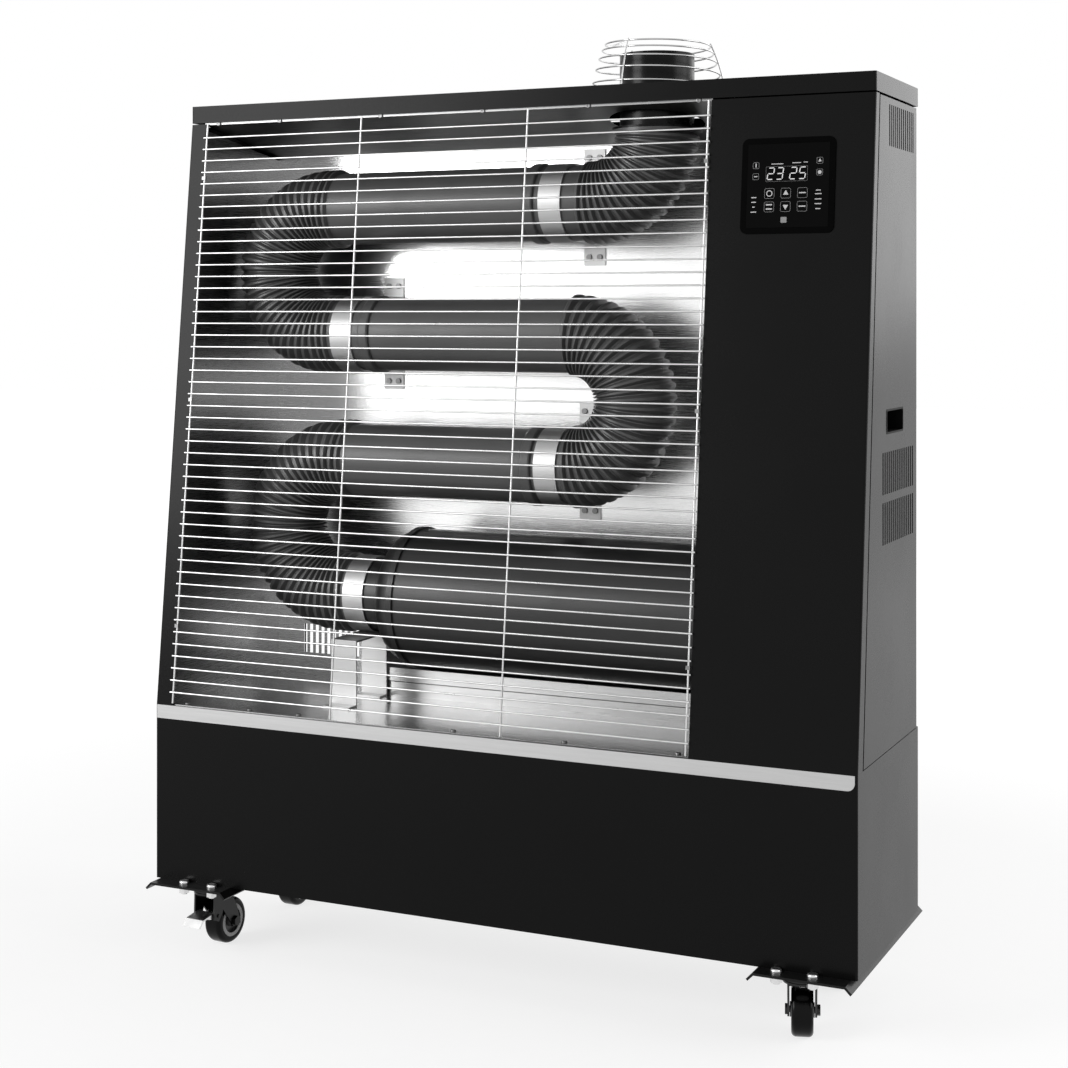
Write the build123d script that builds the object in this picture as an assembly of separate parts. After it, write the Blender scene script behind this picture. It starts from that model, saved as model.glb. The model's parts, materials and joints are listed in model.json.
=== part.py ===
from build123d import *
import math
import os

# An oil-fired infrared heater on castors, for drying and warming building sites.
# Millimetres. The origin is on the floor under the middle of the casing,
# +Z is up, the front guard faces -Y and the control panel is at +X.

# Driving sizes of the casing
casing_width = 1000.0
casing_depth = 300.0
castor_height = 95.0
base_height = 242.0
upper_height = 816.0
front_setback = 86.0
lid_height = 24.0
lid_gap = 2.0
sheet = 1.5
liner_sheet = 1.0
corner_radius = 3.0
fit_gap = 0.3

# The open heating cavity, between the left post and the control side
control_side_width = 211.5
left_post_width = 28.0
return_depth = 15.0
reflector_y = 132.0
shield_drop = 36.0
cavity_wall_gap = 6.0

# Combustion chamber and exchanger tubes, stacked one above the other
stack_y = 25.0
chamber_rise = 146.0
row_rises = [336.0, 514.0, 693.0]
tube_radius = 51.0
tube_wall = 1.5
rib_height = 5.0
bead_height = 4.0
bead_width = 16.0
chamber_radius = 95.0
deflector_y = 32.0
ribs_per_half_turn = 28
straight_ribs = [2, 0, 2]
elbow_radius = 90.0
ribs_in_elbow = 16
band_width = 32.0
band_thickness = 2.5

# Flue outlet and its wire guard
flue_wall = 1.5
flue_rise = 47.0
guard_turns = 4.6
guard_top_radius = 68.0
guard_radius_step = 4.15
guard_top_rise = 61.5
guard_first_drop = 5.9
guard_drop_growth = 1.6
guard_wire_radius = 1.1
guard_ties = 3

# Front wire guard, on the leaning front
guard_rows = 48
guard_first_row = 18.0
guard_last_gap = 22.5
guard_rod_radius = 1.2
guard_upright_radius = 1.4
guard_uprights = 4
guard_overhang = 4.0

# Service door on the right-hand side
door_edge_bottom = 27.0
door_edge_top = 20.0
flange_bottom = 23.0
flange_top = 16.0
door_return = 15.0
door_pivot_radius = 12.0
vent_slot_width = 5.0
vent_slot_pitch = 10.0
vent_slot_height = 52.0
grip_length = 84.0
grip_height = 31.0
grip_depth = 26.0
grip_z = 731.0
grip_y = -16.0

# Control panel
bezel_size = 120.0
bezel_proud = 1.6
bezel_wall = 2.0
bezel_depth = 22.0

# Fuel tank and filler
tank_wall = 2.0
tank_height = 184.0
tank_corner = 15.0
tank_front_gap = 9.0
tank_back_gap = 31.0
bearer_height = 5.5
filler_z = 235.0
filler_radius = 25.0
filler_wall = 3.0

# Burner in the right-hand compartment
volute_z = 440.0
volute_radius = 76.0
volute_front_y = -5.0
volute_width = 60.0
volute_wall = 3.0
blast_radius = 40.0
blower_radius = 60.0
blower_blades = 24
motor_radius = 45.0
motor_length = 88.0
shaft_radius = 6.0
shaft_clearance = 0.05

# Castors: a 63 mm wheel in a swivel fork
rail_width = 130.0
rail_sheet = 3.0
rail_overhang = 24.0
rail_lip = 8.0
castor_inset = 25.5
castor_bolt_x = 45.0
castor_bolt_y = 65.0
bolt_radius = 4.0
bolt_clearance = 0.25
wheel_radius = 31.5
tyre_width = 27.0
rim_radius = 23.0
castor_trail = 31.0
fork_sheet = 2.5
axle_radius = 4.0
castor_plate_sheet = 2.5

# Places worked out from the driving sizes
left_x = -casing_width / 2
right_x = casing_width / 2
front_y = -casing_depth / 2
back_y = casing_depth / 2
base_bottom = castor_height
base_top = base_bottom + base_height
upper_top = base_top + upper_height
lid_bottom = upper_top
lid_top = lid_bottom + lid_height
panel_top = upper_top - lid_gap
lean = math.atan2(front_setback, upper_height)
cavity_left_x = left_x + left_post_width - cavity_wall_gap
control_side_x = right_x - control_side_width
cavity_right_x = control_side_x

# The stack keeps its shares of the casing's height, and its ends keep their gaps to the sides
height_share = upper_height / 816.0
chamber_z = base_top + chamber_rise * height_share
row_heights = [base_top + rise * height_share for rise in row_rises]
rib_radius = tube_radius + rib_height
chamber_left_x = left_x + 287.0
chamber_seam_x = left_x + 326.0
chamber_right_x = control_side_x + 11.5
inlet_joint_x = left_x + 244.0
joint_x = [control_side_x - 250.0, left_x + 223.5, control_side_x - 243.0]
bend_centre_x = [left_x + 202.0, control_side_x - 228.5, left_x + 181.0]
flue_x = control_side_x - 108.5
flue_radius = tube_radius - tube_wall

# The wire guard spans the opening, and its rows share its height
guard_left_x = left_x + 29.0
guard_right_x = control_side_x - 3.5
guard_pitch = (upper_height - guard_first_row - guard_last_gap) / (guard_rows - 1)

# The control panel, tank, burner and castors keep their gaps to the casing's edges
bezel_x = right_x - 108.0
bezel_rise = math.hypot(front_setback, upper_height) - 114.5
tank_left_x = left_x + 15.0
tank_right_x = right_x - 60.0
filler_x = left_x + 120.0
volute_x = right_x - 90.0
gland_x = right_x - 60.0
slot_x0 = left_x + 68.0
castor_x = right_x - 75.0
tank_bottom = base_bottom + sheet + bearer_height
tank_top = tank_bottom + tank_height
tank_front = front_y + tank_front_gap
door_pivot_x = right_x - door_pivot_radius
door_pivot_y = back_y - door_pivot_radius
door_tip_radius = math.hypot(door_return - door_pivot_radius, door_pivot_radius)
door_tip_reach = math.sqrt(door_tip_radius ** 2 - (door_pivot_radius - sheet) ** 2)
rear_panel_right = door_pivot_x - door_tip_reach - fit_gap
tank_back = back_y - tank_back_gap

# Slots in the reflector
slot_count = 11
slot_z0 = base_top + 32.0
slot_rise = 43.0

# Where the flue guard starts
guard_start_angle = 150.0
guard_end_turns = 0.13
guard_end_lift = 12.0
guard_tie_angle = 20.0

# Straps round the tubes and their screws
saddle_foot = 82.0
saddle_screw = 70.0
screw_radius = 2.0
screw_head = 4.0

# Opening behind the control panel
bezel_opening = bezel_size - 10.0

# Fuel line, gland and door pins
fuel_line_radius = 3.0
pump_standoff = 12.0
pump_depth = 42.0
outlet_x = volute_x
outlet_y = volute_front_y + volute_width + pump_standoff + 21.0
gland_z = base_top + 60.0
gland_radius = 10.0
cord_radius = 4.5
door_pin_radius = 3.0
door_pin_clearance = 0.05

# Stack of a castor below its rail
plate_top = base_bottom - rail_sheet
plate_bottom = plate_top - castor_plate_sheet
cup_radius = 24.0
cup_height = 5.5
cup_bottom = plate_bottom - cup_height
fork_top = cup_bottom - fit_gap
fork_crown = fork_top - 6.0
pin_radius = 5.0

# Brake pedal
brake_pin_y = -7.0
brake_pin_z = 48.0
brake_pin_radius = 2.5


def lean_y(z, inset=0.0):
    """Y of the leaning front at height z, moved back by inset."""
    return front_y + (z - base_top) * math.tan(lean) + inset


def block(x0, x1, y0, y1, z0, z1):
    """A box between two corners."""
    return Pos((x0 + x1) / 2, (y0 + y1) / 2, (z0 + z1) / 2) * Box(x1 - x0, y1 - y0, z1 - z0)


def bar_x(points, x0, x1):
    """A prism along X; points give its section as (y, z)."""
    face = make_face(Polyline(*[(x0, y, z) for y, z in points], close=True))
    return extrude(face, amount=x1 - x0, dir=(1, 0, 0))


def bar_y(points, y0, y1):
    """A prism along Y; points give its section as (x, z)."""
    face = make_face(Polyline(*[(x, y0, z) for x, z in points], close=True))
    return extrude(face, amount=y1 - y0, dir=(0, 1, 0))


def rod_x(radius, x0, x1, y, z):
    return Pos((x0 + x1) / 2, y, z) * Rot(0, 90, 0) * Cylinder(radius, x1 - x0)


def rod_y(radius, y0, y1, x, z):
    return Pos(x, (y0 + y1) / 2, z) * Rot(90, 0, 0) * Cylinder(radius, y1 - y0)


def rod_z(radius, z0, z1, x, y):
    return Pos(x, y, (z0 + z1) / 2) * Cylinder(radius, z1 - z0)


def on_front(x, rise, out=0.0):
    """Place on the leaning front: x across, rise up the slope, out along its outward normal."""
    normal = (0, -math.cos(lean), math.sin(lean))
    spot = (
        x,
        front_y + rise * math.sin(lean) - out * math.cos(lean),
        base_top + rise * math.cos(lean) + out * math.sin(lean),
    )
    return Plane(origin=spot, x_dir=(1, 0, 0), z_dir=normal).location


written = []


def write(name, *solids):
    """Write the solids of one node to its own STEP file."""
    pieces = []
    for solid in solids:
        pieces.extend(solid.solids())
    node = Compound(children=pieces) if len(pieces) > 1 else pieces[0]
    node.label = name
    export_step(node, "parts/" + name + ".step")
    written.append(name)


def screw_y(x, z, y_seat, length, head_radius, shank_radius, side):
    """A pan-head screw along Y; side is -1 for a head that faces the front."""
    head_height = head_radius * 0.6
    head = rod_y(head_radius, min(y_seat, y_seat + side * head_height),
                 max(y_seat, y_seat + side * head_height), x, z)
    shank = rod_y(shank_radius, min(y_seat, y_seat - side * length),
                  max(y_seat, y_seat - side * length), x, z)
    return head + shank


# Base cabinet, floor pan, trim and tank

def base_cabinet():
    """Four walls in one folded sheet, with an inward flange round the top."""
    outer = block(left_x, right_x, front_y, back_y, base_bottom, base_top)
    outer = fillet(outer.edges().filter_by(Axis.Z), corner_radius)
    inner = block(left_x + sheet, right_x - sheet, front_y + sheet, back_y - sheet,
                  base_bottom - sheet, base_top - sheet)
    inner = fillet(inner.edges().filter_by(Axis.Z), corner_radius - sheet)
    flange = 20.0
    mouth = block(left_x + flange, right_x - flange, front_y + flange, back_y - flange,
                  base_top - 2 * sheet, base_top + sheet)
    filler_hole = rod_y(filler_radius + fit_gap, back_y - 2 * sheet, back_y + sheet, filler_x, filler_z)
    return outer - inner - mouth - filler_hole


def castor_places():
    """Centre of each castor, its name, whether it has a brake, and how its fork is turned at rest."""
    y_front = front_y + castor_inset
    return [
        ("front_left", -castor_x, y_front, True, -4.0),
        ("front_right", castor_x, y_front, False, 17.0),
        ("rear_left", -castor_x, -y_front, True, 180.0),
        ("rear_right", castor_x, -y_front, False, 165.0),
    ]


def bolt_places(inner_row_only=False):
    """Centres of the bolts that hold the castor plates; the outer row is outside the cabinet."""
    places = []
    for name, x, y, brake, turn in castor_places():
        for sx in (-1, 1):
            for sy in (-1, 1):
                bolt_y = y + sy * castor_bolt_y / 2
                inside = abs(bolt_y) < back_y
                if inside or not inner_row_only:
                    places.append((x + sx * castor_bolt_x / 2, bolt_y, inside))
    return places


def base_floor_pan():
    """Tray that closes the base, with its walls turned up."""
    gap = sheet + fit_gap
    wall_height = 18.0
    outer = block(left_x + gap, right_x - gap, front_y + gap, back_y - gap,
                  base_bottom, base_bottom + wall_height)
    outer = fillet(outer.edges().filter_by(Axis.Z), corner_radius - gap)
    inner = block(left_x + gap + sheet, right_x - gap - sheet, front_y + gap + sheet,
                  back_y - gap - sheet, base_bottom + sheet, base_bottom + 2 * wall_height)
    pan = outer - inner
    for x, y, inside in bolt_places(inner_row_only=True):
        pan -= rod_z(bolt_radius + bolt_clearance, base_bottom - 1, base_bottom + 2 * sheet, x, y)
    return pan


def trim_strip():
    """Stainless strip along the top of the base's front, round at its lower right end."""
    strip_height = 19.0
    strip_sheet = 1.2
    strip = block(left_x + corner_radius, right_x - corner_radius,
                  front_y - strip_sheet, front_y, base_top - strip_height, base_top - 0.5)
    corner = [e for e in strip.edges().filter_by(Axis.Y)
              if e.center().X > 0 and e.center().Z < base_top - strip_height / 2]
    return fillet(corner, strip_height * 0.5)


def fuel_tank():
    """Welded tank with rounded edges, a filler hole at the back and an outlet on top."""
    outer = block(tank_left_x, tank_right_x, tank_front, tank_back, tank_bottom, tank_top)
    outer = fillet(outer.edges(), tank_corner)
    inner = block(tank_left_x + tank_wall, tank_right_x - tank_wall, tank_front + tank_wall,
                  tank_back - tank_wall, tank_bottom + tank_wall, tank_top - tank_wall)
    inner = fillet(inner.edges(), tank_corner - tank_wall)
    filler_hole = rod_y(filler_radius - filler_wall, tank_back - 2 * tank_wall,
                        tank_back + tank_wall, filler_x, filler_z)
    outlet = rod_z(fuel_line_radius, tank_top - 2 * tank_wall, tank_top + tank_wall, outlet_x, outlet_y)
    return outer - inner - filler_hole - outlet


def tank_bearers():
    """Two bars that carry the tank clear of the castor bolts."""
    bars = []
    for x in (left_x + 200.0, right_x - 240.0):
        bars.append(block(x - 20, x + 20, tank_front + 10, tank_back - 10, base_bottom + sheet, tank_bottom))
    return bars


def filler_neck():
    """Tube from the tank through the cabinet's back, with a flange on the tank."""
    neck_end = back_y + 8.0
    flange = rod_y(filler_radius + 10, tank_back, tank_back + 2, filler_x, filler_z)
    tube = rod_y(filler_radius, tank_back, neck_end, filler_x, filler_z)
    bore = rod_y(filler_radius - filler_wall, tank_back - 1, neck_end + 1, filler_x, filler_z)
    return flange + tube - bore


def filler_cap():
    """Cap over the neck, with finger ribs round its rim."""
    cap_start = back_y + 2.0
    cap_end = back_y + 20.0
    cap_radius = filler_radius + 7.0
    lid_thick = 4.0
    rib_count = 18
    rib_size = 1.6
    cap = rod_y(cap_radius, cap_start, cap_end, filler_x, filler_z)
    for i in range(rib_count):
        angle = 2 * math.pi * i / rib_count
        cap += rod_y(rib_size, cap_start, cap_end - 2, filler_x + cap_radius * math.cos(angle),
                     filler_z + cap_radius * math.sin(angle))
    inside = rod_y(filler_radius + fit_gap, cap_start - 1, cap_end - lid_thick, filler_x, filler_z)
    seat = rod_y(filler_radius - filler_wall - 2, cap_end - lid_thick - 4, cap_end - lid_thick,
                 filler_x, filler_z)
    return cap - inside + seat


# Upper casing

def side_pan(x_wall, x_open, front_in=0.0, back_in=0.0):
    """Sheet side with rounded corners, folded in along the leaning front and the back."""
    inward = 1 if x_open > x_wall else -1
    z0 = base_top
    z1 = panel_top
    shell = [(lean_y(z0, front_in), z0), (back_y - back_in, z0),
             (back_y - back_in, z1), (lean_y(z1, front_in), z1)]
    cut = 2.0
    core = [(lean_y(z0 - cut, front_in + sheet / math.cos(lean)), z0 - cut),
            (back_y - back_in - sheet, z0 - cut),
            (back_y - back_in - sheet, z1 + cut),
            (lean_y(z1 + cut, front_in + sheet / math.cos(lean)), z1 + cut)]
    outer = bar_x(shell, min(x_wall, x_open), max(x_wall, x_open))
    core_wall = x_wall + inward * sheet
    core_open = x_open + inward * cut
    inner = bar_x(core, min(core_wall, core_open), max(core_wall, core_open))
    outer = round_side(outer, x_wall, corner_radius)
    inner = round_side(inner, core_wall, corner_radius - sheet)
    return outer - inner


def round_side(part, x_side, radius, front_only=False):
    """Round the long upright edges that lie at x_side."""
    picked = [e for e in part.edges()
              if abs(e.center().X - x_side) < 0.01 and e.length > upper_height * 0.9]
    if front_only:
        picked = sorted(picked, key=lambda e: e.center().Y)[:1]
    return fillet(picked, radius)


def left_side_panel():
    return side_pan(left_x, left_x + left_post_width)


def front_panel():
    """Control-side front: leaning sheet with a side flange round the corner and a panel cut-out."""
    z0 = base_top
    z1 = panel_top
    inner_return = 24.0
    cut = 2.0
    slant = sheet / math.cos(lean)
    shell = [(lean_y(z0), z0), (lean_y(z0, flange_bottom), z0),
             (lean_y(z1, flange_top), z1), (lean_y(z1), z1)]
    core = [(lean_y(z0 - cut, slant), z0 - cut), (lean_y(z0 - cut, flange_bottom + inner_return), z0 - cut),
            (lean_y(z1 + cut, flange_top + inner_return), z1 + cut), (lean_y(z1 + cut, slant), z1 + cut)]
    outer = bar_x(shell, control_side_x, right_x)
    inner = bar_x(core, control_side_x + sheet, right_x - sheet)
    outer = round_side(outer, right_x, corner_radius, front_only=True)
    inner = round_side(inner, right_x - sheet, corner_radius - sheet, front_only=True)
    panel = outer - inner
    opening = on_front(bezel_x, bezel_rise) * Box(bezel_opening, bezel_opening, 4 * bezel_depth)
    return panel - opening


def rear_panel():
    """Flat back with forward folds; its window is behind the reflector's slots."""
    x0 = left_x + left_post_width + fit_gap
    x1 = rear_panel_right
    plate = block(x0, x1, back_y - sheet, back_y, base_top, panel_top)
    fold_left = block(x0, x0 + sheet, back_y - return_depth, back_y, base_top, panel_top)
    fold_right = block(x1 - door_return - sheet, x1 - door_return, back_y - return_depth, back_y,
                       base_top, panel_top)
    window = block(slot_x0 - 8, slot_x0 + slot_count * vent_slot_pitch + 8, back_y - 2 * sheet,
                   back_y + sheet, slot_z0 - 8, slot_z0 + slot_rise + 8)
    gland_hole = rod_y(gland_radius + 0.2, back_y - 2 * sheet, back_y + sheet, gland_x, gland_z)
    return plate + fold_left + fold_right - window - gland_hole


def top_cover():
    """Lid: a shallow pan turned over, with the flue hole."""
    y0 = lean_y(upper_top)
    outer = block(left_x, right_x, y0, back_y, lid_bottom, lid_top)
    outer = fillet(outer.edges().filter_by(Axis.Z), corner_radius)
    inner = block(left_x + sheet, right_x - sheet, y0 + sheet, back_y - sheet,
                  lid_bottom - sheet, lid_top - sheet)
    inner = fillet(inner.edges().filter_by(Axis.Z), corner_radius - sheet)
    hole = rod_z(flue_radius + fit_gap, lid_top - 2 * sheet, lid_top + sheet, flue_x, stack_y)
    return outer - inner - hole


def service_door():
    """Right-hand side: sheet with folded edges, vent slots and a recess for the grip."""
    z0 = base_top + 1.0
    z1 = panel_top - 1.0
    cut = 2.0
    edge0 = lean_y(z0, door_edge_bottom)
    edge1 = lean_y(z1, door_edge_top)
    slope = (edge1 - edge0) / (z1 - z0)
    x_in = right_x - door_return
    shell = [(edge0, z0), (back_y, z0), (back_y, z1), (edge1, z1)]
    outer = bar_x(shell, x_in, right_x)
    core = [(edge0 + sheet, z0 + sheet), (back_y - sheet, z0 + sheet),
            (back_y - sheet, z1 - sheet), (edge1 + sheet, z1 - sheet)]
    inner = bar_x(core, x_in - cut, right_x - sheet)
    back_edge = [e for e in outer.edges().filter_by(Axis.Z) if e.center().X > right_x - 1]
    outer = fillet(back_edge, door_pivot_radius)
    inner_edge = [e for e in inner.edges().filter_by(Axis.Z) if e.center().X > right_x - 4]
    inner = fillet(inner_edge, door_pivot_radius - sheet)
    door = outer - inner
    for y_start, count, z_start in door_vents():
        for i in range(count):
            y = y_start + i * vent_slot_pitch
            door -= block(right_x - 2 * sheet, right_x + sheet, y, y + vent_slot_width,
                          z_start, z_start + vent_slot_height)
    cup = block(right_x - 2 * sheet, right_x + sheet, grip_y, grip_y + grip_length, grip_z,
                grip_z + grip_height)
    pivot = rod_z(door_pin_radius + door_pin_clearance, z0 - 1, z1 + 1, door_pivot_x, door_pivot_y)
    return door - cup - pivot


def door_vents():
    """Start, count and height of the three rows of vertical slots."""
    return [(-2.0, 13, 1090.0), (-35.0, 16, 657.0), (-35.0, 16, 595.0)]


def door_grip():
    """Moulded cup let into the door, open to the outside, with a rim over the sheet's edge."""
    wall = 2.0
    rim = 3.0
    rim_proud = 0.0
    y0 = grip_y + fit_gap
    y1 = grip_y + grip_length - fit_gap
    z0 = grip_z + fit_gap
    z1 = grip_z + grip_height - fit_gap
    x_out = right_x + rim_proud
    cup = block(x_out - grip_depth, x_out, y0, y1, z0, z1)
    hollow = block(x_out - grip_depth + wall, x_out + 1, y0 + wall, y1 - wall, z0 + wall, z1 - wall)
    ledge = block(right_x - sheet - 2, right_x - sheet, y0 - rim, y1 + rim, z0 - rim, z1 + rim)
    return cup + ledge - hollow


def door_hinge_pins():
    """Two pins on lugs of the rear panel's fold; the door turns about them."""
    pins = []
    lug_thick = 0.8
    pin_length = 12.0
    lug_x0 = rear_panel_right - door_return
    for z, side in ((base_top, 1), (panel_top, -1)):
        lug = block(lug_x0, door_pivot_x + 4, door_pivot_y - 5, door_pivot_y + 5,
                    min(z, z + side * lug_thick), max(z, z + side * lug_thick))
        pin = rod_z(door_pin_radius, min(z, z + side * pin_length), max(z, z + side * pin_length),
                    door_pivot_x, door_pivot_y)
        pins.append(lug + pin)
    return pins


# Cavity linings


def side_liner():
    """Bright wall of the cavity beside the left post."""
    x0 = cavity_left_x
    z1 = base_top + upper_height - shield_drop
    wall = [(lean_y(base_top, 4.0), base_top + liner_sheet), (reflector_y, base_top + liner_sheet),
            (reflector_y, z1 - 4), (lean_y(z1 + shield_drop - 10, 4.0), z1 + shield_drop - 10)]
    return bar_x(wall, x0 - liner_sheet, x0)


def reflector():
    """Polished back of the cavity, with a row of slots low on the left."""
    z1 = upper_top - shield_drop
    plate = block(cavity_left_x, cavity_right_x, reflector_y, reflector_y + liner_sheet,
                  base_top + liner_sheet, z1)
    for i in range(slot_count):
        x = slot_x0 + i * vent_slot_pitch
        plate -= block(x, x + vent_slot_width, reflector_y - 1, reflector_y + 2, slot_z0,
                       slot_z0 + slot_rise)
    spots = reflector_screws()
    for x, z in saddle_spots():
        spots += saddle_screws(x, z)
    for x, z in spots:
        plate -= rod_y(screw_radius + 0.2, reflector_y - 1, reflector_y + 2, x, z)
    return plate


def cavity_floor():
    """Bright floor of the cavity, lying on the base cabinet's flange."""
    plate = block(cavity_left_x - liner_sheet, cavity_right_x, front_y + 3.0, back_y - return_depth - 1,
                  base_top, base_top + liner_sheet)
    return plate


def cavity_ceiling():
    """Heat shield that falls towards the back, with a hole for the flue."""
    z_front = upper_top - 3.0
    z_back = upper_top - shield_drop
    y0 = lean_y(z_front, 4.0)
    section = [(y0, z_front), (reflector_y + liner_sheet, z_back),
               (reflector_y + liner_sheet, z_back + liner_sheet), (y0, z_front + liner_sheet)]
    shield = bar_x(section, cavity_left_x - liner_sheet, cavity_right_x)
    lip = block(cavity_left_x - liner_sheet, cavity_right_x, y0, y0 + liner_sheet, z_front,
                lid_top - sheet)
    hole = rod_z(flue_radius + 14.0, z_back - 10, lid_top + 10, flue_x, stack_y)
    return shield + lip - hole


def burner_bulkhead():
    """Plate between the cavity and the burner, with the chamber's hole."""
    x0 = control_side_x + 3.0
    z1 = panel_top - 4.0
    wall = [(lean_y(base_top, 4.0), base_top), (back_y - return_depth - 1, base_top),
            (back_y - return_depth - 1, z1), (lean_y(z1, 4.0), z1)]
    plate = bar_x(wall, x0, x0 + sheet)
    hole = rod_x(chamber_radius + 1.0, x0 - 5, x0 + 5, stack_y, chamber_z)
    return plate - hole


def lower_deflector():
    """Bright sheet under the chamber: a stepped upstand, then a slope up to the reflector."""
    lip_y = deflector_y
    lip_rise = 40.0
    step_rise = 20.0
    step = 1.5
    slope_rise = 42.0
    z0 = base_top + liner_sheet
    t = liner_sheet
    section = [(lip_y + step, z0), (lip_y + step + t, z0), (lip_y + step + t, z0 + step_rise - t * 0.2),
               (lip_y + t, z0 + step_rise + step - t * 0.2), (lip_y + t, z0 + lip_rise - t * 0.3),
               (reflector_y - fit_gap, z0 + lip_rise + slope_rise - t),
               (reflector_y - fit_gap, z0 + lip_rise + slope_rise), (lip_y, z0 + lip_rise),
               (lip_y, z0 + step_rise + step), (lip_y + step, z0 + step_rise)]
    return bar_x(section, -270.0, cavity_right_x)


# Chamber, tubes and flue

def combustion_chamber():
    """Welded drum with a domed left end and an inlet neck."""
    wall = 2.0
    neck_end = inlet_joint_x
    body = rod_x(chamber_radius, chamber_seam_x, chamber_right_x, stack_y, chamber_z)
    dome = chamber_dome(chamber_radius, chamber_left_x, chamber_seam_x, tube_radius)
    neck = rod_x(tube_radius, neck_end, chamber_left_x + 4, stack_y, chamber_z)
    seam = rod_x(chamber_radius + 3.0, chamber_seam_x - 4, chamber_seam_x + 4, stack_y, chamber_z)
    outer = body + dome + neck + seam
    core = rod_x(chamber_radius - wall, chamber_seam_x - 1, chamber_right_x - wall, stack_y, chamber_z)
    core += chamber_dome(chamber_radius - wall, chamber_left_x + wall, chamber_seam_x, tube_radius - wall)
    core += rod_x(tube_radius - tube_wall, neck_end - 1, chamber_left_x + 6, stack_y, chamber_z)
    burner_hole = rod_x(blast_radius + 1.0, chamber_right_x - 2 * wall, chamber_right_x + wall,
                        stack_y, chamber_z)
    return outer - core - burner_hole


def chamber_dome(radius, x_small, x_large, small_radius):
    """Rounded end of the drum, turned about its axis."""
    with_arc = ThreePointArc(
        (x_small, small_radius),
        (x_small + (x_large - x_small) * 0.30, small_radius + (radius - small_radius) * 0.72),
        (x_large, radius),
    )
    outline = with_arc + Line((x_large, radius), (x_large, 0)) + Line((x_large, 0), (x_small, 0)) \
        + Line((x_small, 0), (x_small, small_radius))
    section = make_face(outline)
    drum = revolve(section, Axis.X, 360)
    return Pos(0, stack_y, chamber_z) * drum


def rib_rings(place, length_of_rib, count, ring):
    """Four circles for each rib, set along a path by place(distance)."""
    rings = []
    steps = [(0.06, tube_radius), (0.36, rib_radius), (0.64, rib_radius), (0.94, tube_radius)]
    for i in range(count):
        for share, radius in steps:
            rings.append(ring(place((i + share) * length_of_rib), radius))
    return rings


def bend_tube(x_start, x_centre, z_low, z_high, side, x_finish, lead_ribs, bead_x):
    """A tube that runs from x_start, turns back through ribs and runs to x_finish.

    side is -1 for a bend at the left and +1 for one at the right; lead_ribs is the
    number of ribs on the straight before and after the turn.
    """
    turn_radius = (z_high - z_low) / 2
    z_mid = (z_high + z_low) / 2
    rib_pitch = math.pi * turn_radius / ribs_per_half_turn
    lead = lead_ribs * rib_pitch
    arc_length = math.pi * turn_radius
    ribbed = arc_length + 2 * lead
    rib_count = ribs_per_half_turn + 2 * lead_ribs

    def place(distance):
        """Point and direction on the path, measured from the start of the ribs."""
        if distance < lead:
            x = x_centre - side * (lead - distance)
            return (x, z_low, 0.0)
        if distance > lead + arc_length:
            x = x_centre - side * (distance - lead - arc_length)
            return (x, z_high, math.pi)
        angle = (distance - lead) / turn_radius
        x = x_centre + side * turn_radius * math.sin(angle)
        return (x, z_mid - turn_radius * math.cos(angle), angle)

    def ring(spot, radius):
        """Circle square to the path, with its x direction kept along Y."""
        x, z, angle = spot
        along = (side * math.cos(angle), 0, math.sin(angle))
        plane = Plane(origin=(x, stack_y, z), x_dir=(0, 1, 0), z_dir=along)
        return plane * Circle(radius)

    rings = [ring(place(0), tube_radius)]
    rings += rib_rings(place, rib_pitch, rib_count, ring)
    rings.append(ring(place(ribbed), tube_radius))
    bend = loft(rings, ruled=True)
    x_ribs = x_centre - side * lead
    low = rod_x(tube_radius, min(x_start, x_ribs), max(x_start, x_ribs), stack_y, z_low)
    high = rod_x(tube_radius, min(x_finish, x_ribs), max(x_finish, x_ribs), stack_y, z_high)
    outer = bend + low + high + bead(bead_x, z_high)
    return outer - bend_core(x_start, x_centre, z_low, z_high, side, x_finish)


def bead(x, z):
    """Rolled ring that stands out of a straight tube."""
    crown = 3.0
    ring = rod_x(tube_radius + bead_height, x - bead_width / 2, x + bead_width / 2, stack_y, z)
    rim = [e for e in ring.edges() if e.length > 6 * tube_radius]
    return fillet(rim, crown)


def bend_core(x_start, x_centre, z_low, z_high, side, x_finish):
    """Smooth bore of a bend tube."""
    bore = tube_radius - tube_wall
    turn_radius = (z_high - z_low) / 2
    z_mid = (z_high + z_low) / 2
    past = 1.0
    low_end = x_start - side * past
    high_end = x_finish - side * past
    low = rod_x(bore, min(low_end, x_centre), max(low_end, x_centre), stack_y, z_low)
    high = rod_x(bore, min(high_end, x_centre), max(high_end, x_centre), stack_y, z_high)
    section = Plane(origin=(x_centre, stack_y, z_low), x_dir=(0, 1, 0), z_dir=(side, 0, 0)) * Circle(bore)
    axis = Axis((x_centre, stack_y, z_mid), (0, -side, 0))
    turn = revolve(section, axis, 180)
    return low + turn + high


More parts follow.
